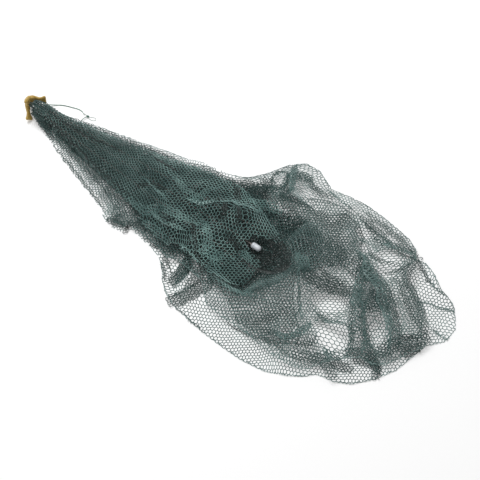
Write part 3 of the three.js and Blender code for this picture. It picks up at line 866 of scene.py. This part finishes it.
# %% Top layer
TOP_START = [
    (4, -7), (20, -12), (40, -20), (80, -30), (120, -41), (160, -54), (200, -67), (216, -79), (226, -84),
    (240, -84), (250, -82), (256, -74), (262, -74), (285, -76), (318, -79), (334, -84),
]
TOP_LEFT = np.concatenate([TOP_START, side_of(2, 346, 600), [(612, -84), (624, -72), (636, -58), (650, -47)]])
TOP_END = [
    (668, -46), (684, -34), (698, -6), (710, 18), (712, 26), (697, 33), (690, 50), (678, 68), (664, 78),
    (643, 83), (629, 96), (626, 112), (628, 130), (616, 150),
]
bag_top = lay(
    outline_of(TOP_LEFT, TOP_END, side_of(4, 0, 601)[::-1] - [0, 2]), 25, top_level,
    LEG_FOLDS + RIM_FOLDS[2:5] + CONE_FOLDS[:1], 2, drawn=(0.85, 0.94), below=0.6,
    windows=WINDOWS, openings=OPENINGS, rim=RAGGED_CONE)
netting("bag_top", *bag_top, net_look, "netting", "folded", "net_bag")

# %% Middle layer
MIDDLE_LEFT = [
    (6, -7), (20, -12), (51, -20), (74, -23), (104, -28), (133, -34), (160, -40), (181, -46), (209, -58),
    (219, -68), (223, -80), (240, -81), (250, -78), (258, -71), (285, -73), (318, -77), (334, -79),
    (345, -78), (380, -79), (420, -81), (445, -85), (462, -94), (476, -104), (500, -103), (530, -100),
    (552, -94),
]
MIDDLE_END = [
    (566, -80), (560, -64), (540, -48), (522, -30), (510, -10), (506, 4), (518, 18), (528, 38),
    (546, 60), (580, 54), (606, 60), (594, 74), (562, 84), (552, 100), (545, 118), (525, 134),
    (500, 138), (482, 122), (460, 114), (420, 112), (390, 104), (366, 97),
]
bag_middle = lay(
    outline_of(MIDDLE_LEFT, MIDDLE_END, side_of(3, 0, 340)[::-1]), 36, middle_level,
    LEG_FOLDS[:2] + CONE_FOLDS[1:3], 3, drawn=(0.8, 0.9))
# The middle layer gets the darker netting: painted shade.
netting("bag_middle", *bag_middle, painted_shade_netting, "netting", "folded", "net_bag")

# %% [markdown]
# ## The canopy and the gathered heap
# The canopy's two layers lie over the ribs, and its free end is drawn back from the capped rib. Between
# the layers, where the folded trap holds its side panels, lie more sheets of the same net.

# %% Canopy layers
CANOPY_END = 458


def canopy_outline(inset):
    """The canopy's plan, with its free end drawn back round the capped rib: x = CANOPY_END - 40
    exp(-((y - 6) / 17)⁴), from one side to the other."""
    y = np.linspace(-56 + inset, 38 - inset, 20)
    end = np.stack([CANOPY_END - 40 * np.exp(-(((y - 6) / 17) ** 4)), y], axis=1)
    left, right = CANOPY[:-1, [0, 1]] + [0, inset], CANOPY[:-1, [0, 2]] - [0, inset]
    hub_end = [(8, 9), (5, 5), (5, -5), (7, -9)]
    return np.concatenate([left, end, right[::-1], hub_end]).astype(float)


# The lower canopy gets the darkest netting: painted shade.
canopy_lower = lay(
    canopy_outline(1.5), 27, lambda x, y: canopy_level(x, y, 0), (), 4,
    drawn=(0.55, 0.6), rim=RAGGED)
netting("canopy_lower", *canopy_lower, painted_deep_shade_netting, "netting_canopy", "gathered", "net_canopy")
# The upper canopy gets the paler netting: painted light.
canopy_upper = lay(
    canopy_outline(0), 34, lambda x, y: canopy_level(x, y, 1), HEAP_FOLDS, 5,
    drawn=(0.84, 1.0), below=0.5, rim=RAGGED)
netting("canopy_upper", *canopy_upper, painted_light_netting, "netting_canopy", "gathered", "net_canopy")

# %% Side panels gathered in the heap
CORE_LEFT = [
    (6, -7), (50, -15), (99, -23), (148, -29), (190, -36), (214, -39), (240, -47), (254, -58),
    (258, -62), (262, -62), (285, -66), (318, -74), (334, -74), (345, -64), (367, -61), (388, -68),
    (407, -74), (425, -76), (445, -74), (462, -66),
]
CORE_RIGHT = [
    (484, 90), (468, 90), (445, 82), (420, 80), (400, 80), (386, 88), (366, 92), (345, 85), (310, 76),
    (285, 72), (265, 63), (205, 47), (145, 34), (100, 26), (50, 16), (6, 8),
]
CORE_ENDS = [
    [(478, -46), (488, -20), (498, 4), (512, 20), (516, 46), (508, 68), (494, 84)],
    [(468, -58), (476, -28), (482, 0), (492, 24), (494, 50), (486, 72)],
    [(474, -56), (490, -30), (500, -8), (514, 12), (524, 28), (528, 44), (548, 66), (540, 84), (512, 90)],
]


def between(share):
    """Level of a panel that lies at a share of the way from the floor layer up to the top layer."""
    return lambda x, y: floor_level(x, y) + share * (top_level(x, y) - floor_level(x, y))


# Name, angle of the mesh in degrees, share of the way up, end of the outline, folds and seed.
PANELS = [
    ("side_panel_1", 24, 0.25, CORE_ENDS[0], HEAP_FOLDS[::2] + CONE_FOLDS[::2], 6),
    ("side_panel_2", 38, 0.75, CORE_ENDS[1], HEAP_FOLDS[1::2] + CONE_FOLDS[1::2], 7),
    ("side_panel_3", 86, 0.5, CORE_ENDS[2], HEAP_FOLDS[:3] + CONE_FOLDS[2:], 8),
]
# Every side panel gets the darker netting: painted shade.
for panel_name, angle, share, end, folds, seed in PANELS:
    outline = outline_of(CORE_LEFT, end, CORE_RIGHT)
    panel = lay(outline, angle, between(share), folds, seed, drawn=(0.7, 0.7), rim=RAGGED)
    netting(panel_name, *panel, painted_shade_netting, "netting", "gathered", "net_bag")

# %% [markdown]
# ## Gathered legs and creases
# Where a net is bunched up its cells close and its strands run along the bunch, so it looks nearly solid.
# Each bunch is a strip of net round a line: across it the cells are squeezed to a share of their width,
# and it stands up as a soft roll with fine corrugations along it. The creases between the rolls are
# narrower strips of the darkest netting, which is painted shade.

# %% One gathered strip
TIED_AT_HUB = 10   # mm: a strip that starts nearer to the hub than this is tied there and stays narrow
RIPPLE_STEP, RIPPLE_HEIGHT = 3.6, 1.4   # the corrugations along a roll
OPEN_SHARE, KEPT_AT_END = 0.35, 0.38    # share of the length that an end takes to open, and of cells left


def gather(line, half_width, squeeze, rise, level, seed):
    """Points, faces and length of one strip: centre(s) + across left(s), at level + rise (1 - (t / T)²) +
    RIPPLE_HEIGHT (1 - squeeze) cos(2 pi across / RIPPLE_STEP). Here t is the distance across the cloth, T
    the cloth's half width, and across is t w(s) with a slow sway. w is the squeeze in the middle and nearly
    1 at a free end, where the strip also has fewer cells across, so it fades into the net."""
    chance = np.random.default_rng(seed)
    path = curve_through(line, 80)
    along = distance_along(path)
    run = unit(np.gradient(path, axis=0))
    length, reach = along[-1], half_width / squeeze
    grid = lattice([0, -reach], [length, reach], chance.uniform(-0.3, 0.3))
    s, t = grid.reshape(-1, 2).T
    tied = path[0, 0] < TIED_AT_HUB
    opened = (0 if tied else 1 - ease(s / length / OPEN_SHARE)) + 1 - ease((1 - s / length) / OPEN_SHARE)
    taper = 0.4 + 0.6 * ease(s / length / 0.3) if tied else 1
    keep = (s > -2) & (s < length + 2) & (np.abs(t) < reach * (1 - (1 - KEPT_AT_END) * opened))
    sway = 0.8 * np.sin(2 * np.pi * s / chance.uniform(18, 30) + chance.uniform(0, 6))
    across = t * (squeeze + 0.85 * (1 - squeeze) * opened) * taper + sway
    centre_x, centre_y, run_x, run_y = (np.interp(s, along, v) for v in (*path.T, *run.T))
    x = centre_x - across * run_y + np.minimum(s, 0)
    y = centre_y + across * run_x
    ripple = RIPPLE_HEIGHT * (1 - squeeze) * np.cos(2 * np.pi * across / RIPPLE_STEP + chance.uniform(0, 6))
    roll = rise * (1 - 0.7 * opened) * (1 - (t / reach) ** 2) + ripple
    joints = np.stack([x, y, np.maximum(level(x, y) + roll, 0.5)], axis=1)
    points, faces = knit(joints.reshape(*grid.shape[:3], 3), keep.reshape(grid.shape[:3]))
    return points, faces, length / 1000


def gathered(name, rows, look, slot, *nodes):
    """All strips of one table as one piece of net, with a seed for each row."""
    points, faces, total, start = [], [], 0.0, 0
    for seed, row in enumerate(rows):
        new_points, new_faces, length = gather(*row, 100 + seed)
        points.append(new_points)
        faces += [f + start for f in new_faces]
        start, total = start + len(new_points), total + length
    netting(name, np.concatenate(points), faces, total, look, slot, "gathered", *nodes)


def on_floor(x, y):
    """Level of a strip that lies on the floor layer alone."""
    return floor_level(x, y) + 1.2


def on_top(x, y):
    """Level of a strip that lies on the bag's top layer."""
    return top_level(x, y) + 0.4


def on_canopy(x, y):
    """Level of a strip that lies on the canopy."""
    return canopy_level(x, y, 1) + 0.6


# %% Legs
# Each row is a strip's line, half width, squeeze, rise and level.
LEG_ROWS = [
    ([(5, 0), (24, 0), (48, 1)], 9, 0.42, 0.3, on_canopy),
    ([(2, -7), (20, -11), (48, -17)], 4, 0.45, 0.6, on_floor),
    ([(6, 6), (18, 9), (40, 13)], 6, 0.45, 0.4, on_canopy),
    ([(8, 6), (30, 13), (48, 18), (80, 24), (120, 33), (160, 41), (200, 51), (236, 59)],
     5.5, 0.5, 0.6, on_top),
    ([(60, -28), (100, -40), (140, -52), (180, -64), (210, -74)], 4, 0.8, 0.6, on_floor),
    ([(1, -5), (14, -8), (34, -11)], 7, 0.45, 0.3, on_canopy),
    ([(2, -4), (20, -8), (48, -12)], 7, 0.45, 0.5, on_top),
    ([(7, 5), (22, 10), (48, 15)], 6, 0.45, 0.6, on_top),
    ([(6, -5), (22, -11), (48, -16)], 6, 0.45, 0.6, on_top),
    ([(4, -6), (22, -12), (60, -23)], 4, 0.5, 0.8, on_floor),
    ([(4, 8), (22, 16), (60, 22)], 4, 0.5, 0.8, on_floor),
    ([(565, 82), (572, 75), (580, 58), (590, 39), (596, 20), (600, 2)], 9, 0.42, 2.0, on_top),
    ([(598, 8), (607, -8), (616, -24), (630, -42), (634, -58)], 5, 0.42, 1.4, on_top),
    ([(598, 28), (606, 18), (618, 4), (630, -11), (646, -25), (664, -38), (680, -50)],
     6, 0.42, 1.5, on_top),
    ([(574, 80), (594, 66), (611, 60), (627, 51), (643, 38), (657, 24), (670, 10), (680, -8)],
     8.5, 0.4, 2.2, on_top),
    ([(594, 28), (613, 36), (628, 38), (644, 34)], 7, 0.45, 1.2, on_top),
    ([(620, 132), (630, 120), (628, 106), (634, 91), (650, 82), (668, 72), (684, 56), (696, 42), (704, 28)],
     7, 0.42, 1.8, on_top),
    ([(622, 82), (640, 73), (658, 60), (674, 48), (690, 36)], 6, 0.6, 1.0, on_top),
    ([(664, -30), (676, -8), (687, 6), (698, 20), (708, 38)], 10, 0.45, 1.6, on_top),
    ([(692, -4), (701, 10), (706, 26)], 7, 0.45, 1.2, on_floor),
    ([(626, -48), (640, -39), (655, -35), (671, -40), (684, -58)], 8, 0.45, 1.4, on_floor),
    ([(642, -52), (656, -47), (670, -42), (684, -48)], 6, 0.5, 1.2, on_floor),
    ([(614, 10), (618, 26), (612, 44), (602, 62)], 9, 0.42, 1.6, on_top),
    ([(570, -96), (588, -90), (606, -82), (622, -86), (638, -94)], 8, 0.42, 1.4, on_top),
    ([(610, -70), (630, -70), (650, -66)], 9, 0.6, 1.0, on_floor),
    ([(512, -97), (530, -91), (549, -90), (557, -76), (562, -58)], 5, 0.55, 1.2, on_top),
    ([(556, -26), (580, -26), (596, -25), (616, -21)], 3, 0.6, 0.8, on_top),
    ([(490, -4), (516, 4), (542, 13), (570, 25), (596, 29)], 10, 0.42, 1.2, on_top),
    ([(528, 26), (546, 30), (566, 38)], 6, 0.6, 1.0, on_top),
    ([(497, 18), (513, -6), (529, -25), (541, -44), (548, -70)], 2.6, 0.5, 1.0, on_top),
    ([(560, 124), (588, 132), (616, 136), (636, 128)], 6, 0.5, 1.4, on_top),
    ([(604, 82), (618, 98), (626, 114)], 4, 0.5, 1.0, on_top),
    ([(516, 160), (556, 155), (596, 149), (632, 142)], 6, 0.75, 1.0, on_floor),
    ([(630, 138), (644, 126), (666, 114)], 3.5, 0.5, 1.0, on_floor),
    ([(424, 160), (412, 149), (404, 136), (404, 124), (409, 112), (417, 98), (424, 86)],
     11, 0.42, 2.0, on_top),
    ([(398, 154), (402, 138), (407, 122), (413, 106), (422, 90)], 8, 0.42, 2.0, on_top),
    ([(375, 126), (378, 137), (389, 138), (399, 127), (405, 114), (396, 105), (384, 108), (375, 122),
      (377, 134)],
     3.4, 0.45, 1.2, on_top),
    ([(358, 82), (370, 94), (380, 100), (392, 100)], 8, 0.45, 1.4, on_top),
    ([(512, 150), (542, 144), (580, 138)], 7, 0.7, 1.0, on_floor),
    ([(558, 103), (579, 94), (600, 103), (618, 109)], 5.5, 0.6, 1.0, on_top),
    ([(598, 12), (620, 22), (646, 27)], 9, 0.8, 1.0, on_top),
    ([(418, 88), (440, 97), (460, 103)], 7, 0.85, 1.0, on_top),
    ([(564, -86), (578, -74), (584, -54)], 5, 0.7, 1.0, on_top),
    ([(250, -71), (262, -66), (282, -68)], 6, 0.5, 1.0, on_top),
    ([(410, 158), (424, 150), (447, 144), (470, 146)], 6, 0.5, 1.0, on_top),
    ([(344, 84), (360, 90), (376, 94), (390, 94)], 10, 0.42, 1.6, on_top),
    ([(362, 112), (376, 108), (392, 106), (408, 104)], 9, 0.45, 1.4, on_top),
    ([(377, 118), (373, 130), (379, 140), (394, 136)], 3.0, 0.5, 1.2, on_top),
    ([(352, -52), (361, -70), (363, -90), (363, -112)], 9, 0.4, 2.0, on_floor),
    ([(388, -60), (386, -76), (384, -92), (382, -106)], 8, 0.9, 1.0, on_floor),
    ([(354, -60), (362, -80), (363, -104)], 6, 0.42, 3.0, on_floor),
    ([(406, -70), (400, -92), (393, -112), (378, -138)], 11, 0.42, 2.0, on_floor),
    ([(284, -74), (300, -75), (318, -75), (334, -84), (352, -96)], 4, 0.55, 1.2, on_floor),
    ([(325, -84), (332, -92), (344, -102), (354, -114)], 3.0, 0.5, 1.0, on_floor),
    ([(382, -136), (400, -137), (425, -141), (458, -144)], 2.4, 0.8, 0.8, on_floor),
    ([(218, -83), (234, -79), (252, -74)], 6, 0.5, 1.6, on_floor),
    ([(219, -85), (224, -74), (234, -63)], 2.6, 0.42, 1.4, on_floor),
    ([(468, -112), (504, -107), (538, -98), (557, -100), (583, -97)], 4, 0.7, 1.0, on_floor),
]
# The legs get the darker netting: painted shade.
gathered("gathered_legs", LEG_ROWS, painted_shade_netting, "netting", "net_bag")

# %% Creases
HOLLOW_MIDDLE, HOLLOW_HALF = (447.0, 1.0), (40.0, 26.0)   # the ellipse in which the capped rib ends
HOLLOW_FLOOR, HOLLOW_DEPTH = 10, 17


def hollow_wall(x, y):
    """Wall of the hollow, which rises by its depth across the ellipse, or the bag where that is higher."""
    r = np.hypot((x - HOLLOW_MIDDLE[0]) / HOLLOW_HALF[0], (y - HOLLOW_MIDDLE[1]) / HOLLOW_HALF[1])
    return np.maximum(HOLLOW_FLOOR + HOLLOW_DEPTH * ease((r - 0.7) / 0.5), top_level(x, y) + 0.8)


RING = [(HOLLOW_MIDDLE[0] + 37 * np.cos(a), HOLLOW_MIDDLE[1] + 24 * np.sin(a))
        for a in np.radians(np.arange(200, 521, 40))]
# Painted shade: strips of the darkest netting along the creases and round the hollow where the capped rib
# ends.
CREASE_ROWS = [
    (RING, 8, 0.4, 0.5, hollow_wall),
    ([(400, -6), (420, -6), (450, -2), (484, 2)], 16, 0.45, 0.3, hollow_wall),
    ([(388, -14), (404, -13), (420, -14)], 6, 0.45, 0.8, on_canopy),
    ([(232, -27), (238, -14), (250, -7), (268, -5)], 4.5, 0.45, 0.8, on_canopy),
    ([(207, 36), (228, 33), (248, 34), (268, 34)], 2.4, 0.45, 0.6, on_canopy),
    ([(325, 9), (338, 21), (352, 31), (362, 20), (370, 0)], 5.0, 0.4, 0.8, on_canopy),
    ([(361, 42), (375, 35), (386, 23), (391, 10)], 4.0, 0.45, 0.8, on_canopy),
    ([(280, -44), (300, -46), (328, -43)], 4, 0.5, 0.8, on_canopy),
    ([(286, -40), (300, -40), (314, -41)], 5, 0.42, 0.6, on_canopy),
    ([(336, 76), (350, 66), (362, 52), (367, 40)], 6, 0.5, 0.6, on_canopy),
    ([(332, -19), (351, -40), (375, -61), (394, -76)], 3.4, 0.42, 0.8, on_canopy),
    ([(355, -59), (365, -72), (372, -84)], 3.0, 0.42, 0.8, on_floor),
    ([(366, 92), (380, 90), (394, 84)], 6, 0.42, 0.8, on_top),
    ([(26, -8), (67, -13), (116, -22), (166, -32), (219, -39), (248, -42)], 1.7, 0.42, 0.5, on_canopy),
    ([(4, 3), (29, 1), (58, 0), (85, 0), (111, 1), (140, 7), (180, 12)], 1.8, 0.42, 0.5, on_canopy),
    ([(20, 1), (47, -8), (76, -14)], 1.4, 0.42, 0.5, on_canopy),
    ([(30, -14), (74, -25), (133, -38), (181, -48), (212, -58)], 1.3, 0.5, 0.6, on_top),
    ([(250, -66), (253, -77), (254, -87)], 3.4, 0.42, 2.0, on_floor),
    ([(676, 8), (686, 18), (698, 24)], 5, 0.42, 0.8, on_top),
]
gathered("gathered_creases", CREASE_ROWS, painted_deep_shade_netting, "netting", "net_bag", "net_canopy")

# %% Rims with painted light
# Painted light: strips of the paler netting, laid where the canopy and bag should look lit.
PALE_ROWS = [
    ([(254, 22), (290, 16), (317, 15), (322, 34), (334, 56)], 6, 0.85, 1.0, on_canopy),
    ([(418, -19), (430, -20), (444, -22)], 6, 0.6, 1.5, on_canopy),
    ([(345, -10), (367, -29), (391, -49), (412, -60)], 9, 0.9, 0.6, on_canopy),
    ([(230, -44), (262, -47), (292, -32), (318, -26), (346, -20)], 9, 0.9, 0.4, on_canopy),
    ([(262, -58), (290, -60), (326, -67)], 7, 0.9, 0.4, on_canopy),
    ([(350, -44), (374, -50), (398, -42), (420, -32)], 8, 0.9, 0.4, on_canopy),
    ([(412, -70), (440, -74), (466, -71), (494, -60)], 6, 0.9, 0.4, on_top),
    ([(486, 28), (506, 17), (522, 3), (536, -10)], 9, 0.8, 0.4, on_top),
    ([(372, 62), (392, 68), (410, 72), (428, 70)], 9, 0.9, 0.6, on_canopy),
]
gathered("pale_rims", PALE_ROWS, painted_light_netting, "netting_canopy", "net_canopy")

# %% [markdown]
# ## The hub
# The hub is one moulding, so its arms flow into its boss. Its solid has hard seams where the arms meet
# the boss: a copy is turned into one even skin and relaxed, which gives the soft fillets of a mould.

# %% Hub
# Acetal, injection moulded: dense, waxy, golden yellow, with a fine matt texture from the tool.
hub_look = finish("moulded_acetal_yellow", 0.5, 1.48, "#ad8d45", "#c2a55c", 9.0, grain=(0.6, 0.05))
SKIN_CELL = 0.0006   # metres


def moulded_hub():
    """Even skin of cells of SKIN_CELL over the solid, then three rounds of smoothing for the fillets."""
    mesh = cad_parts["hub"].data.copy()
    mesh.materials.clear()
    mesh.materials.append(hub_look)
    hub = placed("moulded_hub", mesh)
    weld = hub.modifiers.new("weld", "WELD")
    weld.merge_threshold = 1e-5
    skin = hub.modifiers.new("skin", "REMESH")
    skin.mode, skin.voxel_size, skin.use_smooth_shade = "VOXEL", SKIN_CELL, True
    relax = hub.modifiers.new("relax", "SMOOTH")
    relax.factor, relax.iterations = 0.5, 3
    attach(hub, "root")
    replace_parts(hub, "hub")


moulded_hub()

# %% [markdown]
# ## Ribs, sleeves and cap
# Each rib is a drawn fibreglass rod in a dark sleeve, and one rib end wears a white cap. These are turned
# pieces: a profile goes once round the rib's own line. The sleeve gets two crimped grooves and the cap
# its rounded end, and the rods stay as they are, in a weathered grey.

# %% Rib materials
# Nitrile rubber, pressed on: dull black green.
sleeve_look = finish("pressed_rubber_sleeve", 0.65, 1.52, "#1f2523", "#2f3634", 3.0)
# Polypropylene cap: white, a little translucent, with a soft shine.
cap_look = finish("moulded_polypropylene_white", 0.3, 1.49, "#c3c9cf", "#d8dce1", 8.0)
# Drawn fibreglass: pinkish grey, mottled where it has weathered.
rod_look = finish("drawn_fibreglass", 0.4, 1.53, "#6b6662", "#928a85", 1.2)

# %% Turned pieces
RIB_LINES = {
    "1": ((-2, 0.8, 22.2), (429, 5.5, 16.6)),
    "2": ((-2.6, -3.4, 20.8), (428, -27, 15.2)),
    "3": ((-0.8, 5, 21.2), (428, 34, 15.2)),
}
CAP_OVERLAP = 6   # mm of the rib that sit in its cap
# Distance along the piece and radius, in millimetres, from the closed back through the bore and out.
SLEEVE_PROFILE = [
    (5.6, 0.01), (5.6, 1.48), (14.8, 1.48), (15, 1.6), (14.8, 1.78), (12.2, 1.8), (11.8, 1.6), (11.2, 1.6),
    (10.8, 1.8), (5.2, 1.8), (4.8, 1.6), (4.2, 1.6), (3.8, 1.8), (0.3, 1.8), (0, 1.5), (0, 0.01),
]
CAP_PROFILE = [
    (6.35, 0.01), (6.35, 1.45), (0.2, 1.45), (0, 1.7), (0, 2.8), (0.35, 3.8), (1.2, 4.5), (2.4, 4.7),
    (4.6, 4.7), (4.8, 4.58), (5.0, 4.7), (10.8, 4.7), (12.4, 4.45), (13.7, 3.8), (14.7, 2.8),
    (15.3, 1.5), (15.5, 0.01),
]


def rib_line(rib):
    """Hub end, unit vector and length of a rib's line."""
    base, end = (np.array(p, float) for p in RIB_LINES[rib])
    length = np.linalg.norm(end - base)
    return base, (end - base) / length, length


def turned(name, rib, start, profile, look, around=32):
    """Each profile point (along, r) becomes the ring start + along run + r (cos a side + sin a top)."""
    base, run, _ = rib_line(rib)
    along, radius = np.array(profile).T
    across = round_about(run, np.linspace(0, 2 * np.pi, around, endpoint=False))
    rings = (base + run * start) + along[:, None, None] * run + radius[:, None, None] * across
    return piece(name, to_part(rings.reshape(-1, 3)), ring_faces(len(profile), around), look, True)


for rib in RIB_LINES:
    sleeve = turned(f"crimped_sleeve_{rib}", rib, 0.0, SLEEVE_PROFILE[::-1], sleeve_look)
    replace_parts(sleeve, f"rib_socket_{rib}")
    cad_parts[f"rib_{rib}"].data.materials.clear()
    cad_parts[f"rib_{rib}"].data.materials.append(rod_look)
cap_start = rib_line("1")[2] - CAP_OVERLAP
cap = turned("rib_end_cap", "1", cap_start, CAP_PROFILE, cap_look)
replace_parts(cap, "rib_cap")

# %% [markdown]
# ## Floor, lights and backdrop
# The floor is pale and matt, and takes the trap's shadow. To the camera alone it also gives off some
# light of its own, so that it shows as white paper does, without any more light on the net. One broad
# soft lamp and an even sky light the trap at the plain level.

# %% Floor
FLOOR_HALF, FLOOR_GLOW = 4.0, 0.22   # metres, and how strongly it shows itself
LARGER, PRODUCT = {"operation": "MAXIMUM"}, {"operation": "MULTIPLY"}


def straight_rays(material):
    """1 for rays that show the floor or sky itself, to the camera or through something clear or shiny."""
    rays = add_node(material, "ShaderNodeLightPath")
    seen = rays.outputs["Is Camera Ray"]
    for kind in ("Is Glossy Ray", "Is Transmission Ray"):
        either = add_node(material, "ShaderNodeMath", LARGER, {0: seen, 1: rays.outputs[kind]})
        seen = either.outputs[0]
    return seen


def pale_floor():
    """A square of white paper whose glow is FLOOR_GLOW for straight rays and 0 for all others."""
    look, shader = new_material("white_paper", 0.9, Base_Color=linear("#efefef"), Emission_Color=(1, 1, 1, 1))
    shown = add_node(look, "ShaderNodeMath", PRODUCT, {0: straight_rays(look), 1: FLOOR_GLOW})
    look.node_tree.links.new(shown.outputs[0], shader.inputs["Emission Strength"])
    corners = [(FLOOR_HALF * x, FLOOR_HALF * y, 0) for x, y in ((-1, -1), (1, -1), (1, 1), (-1, 1))]
    mesh = bpy.data.meshes.new("floor")
    mesh.from_pydata(corners, [], [(0, 1, 2, 3)])
    mesh.materials.append(look)
    placed("floor", mesh)


pale_floor()

# %% Lights


def soft_lamp(name, place, size, level):
    """Square lamp aimed at the trap; its power makes a pale floor point radiate level."""
    lamp = bpy.data.lights.new(name, "AREA")
    lamp.shape, lamp.size = "SQUARE", size
    away = Vector(place)
    lamp.energy = level * np.pi**2 * away.length**2 * away.length / away.z
    placed(name, lamp, away, away)


def even_sky(level):
    """White sky of one level for the light it gives, and of strength 1 where it shows itself."""
    world = bpy.data.worlds.new("sky")
    bpy.context.scene.world = world
    world.use_nodes = True
    world.node_tree.nodes.clear()
    strength = add_node(world, "ShaderNodeMath", LARGER, {0: straight_rays(world), 1: level})
    sky = add_node(world, "ShaderNodeBackground", inputs={
        "Color": (1, 1, 1, 1), "Strength": strength.outputs[0]})
    out = add_node(world, "ShaderNodeOutputWorld")
    world.node_tree.links.new(sky.outputs[0], out.inputs["Surface"])


soft_lamp("key", (-1.1, 0.35, 2.2), 1.2, 0.62)
even_sky(0.42)
bpy.context.scene.view_settings.view_transform = "Standard"
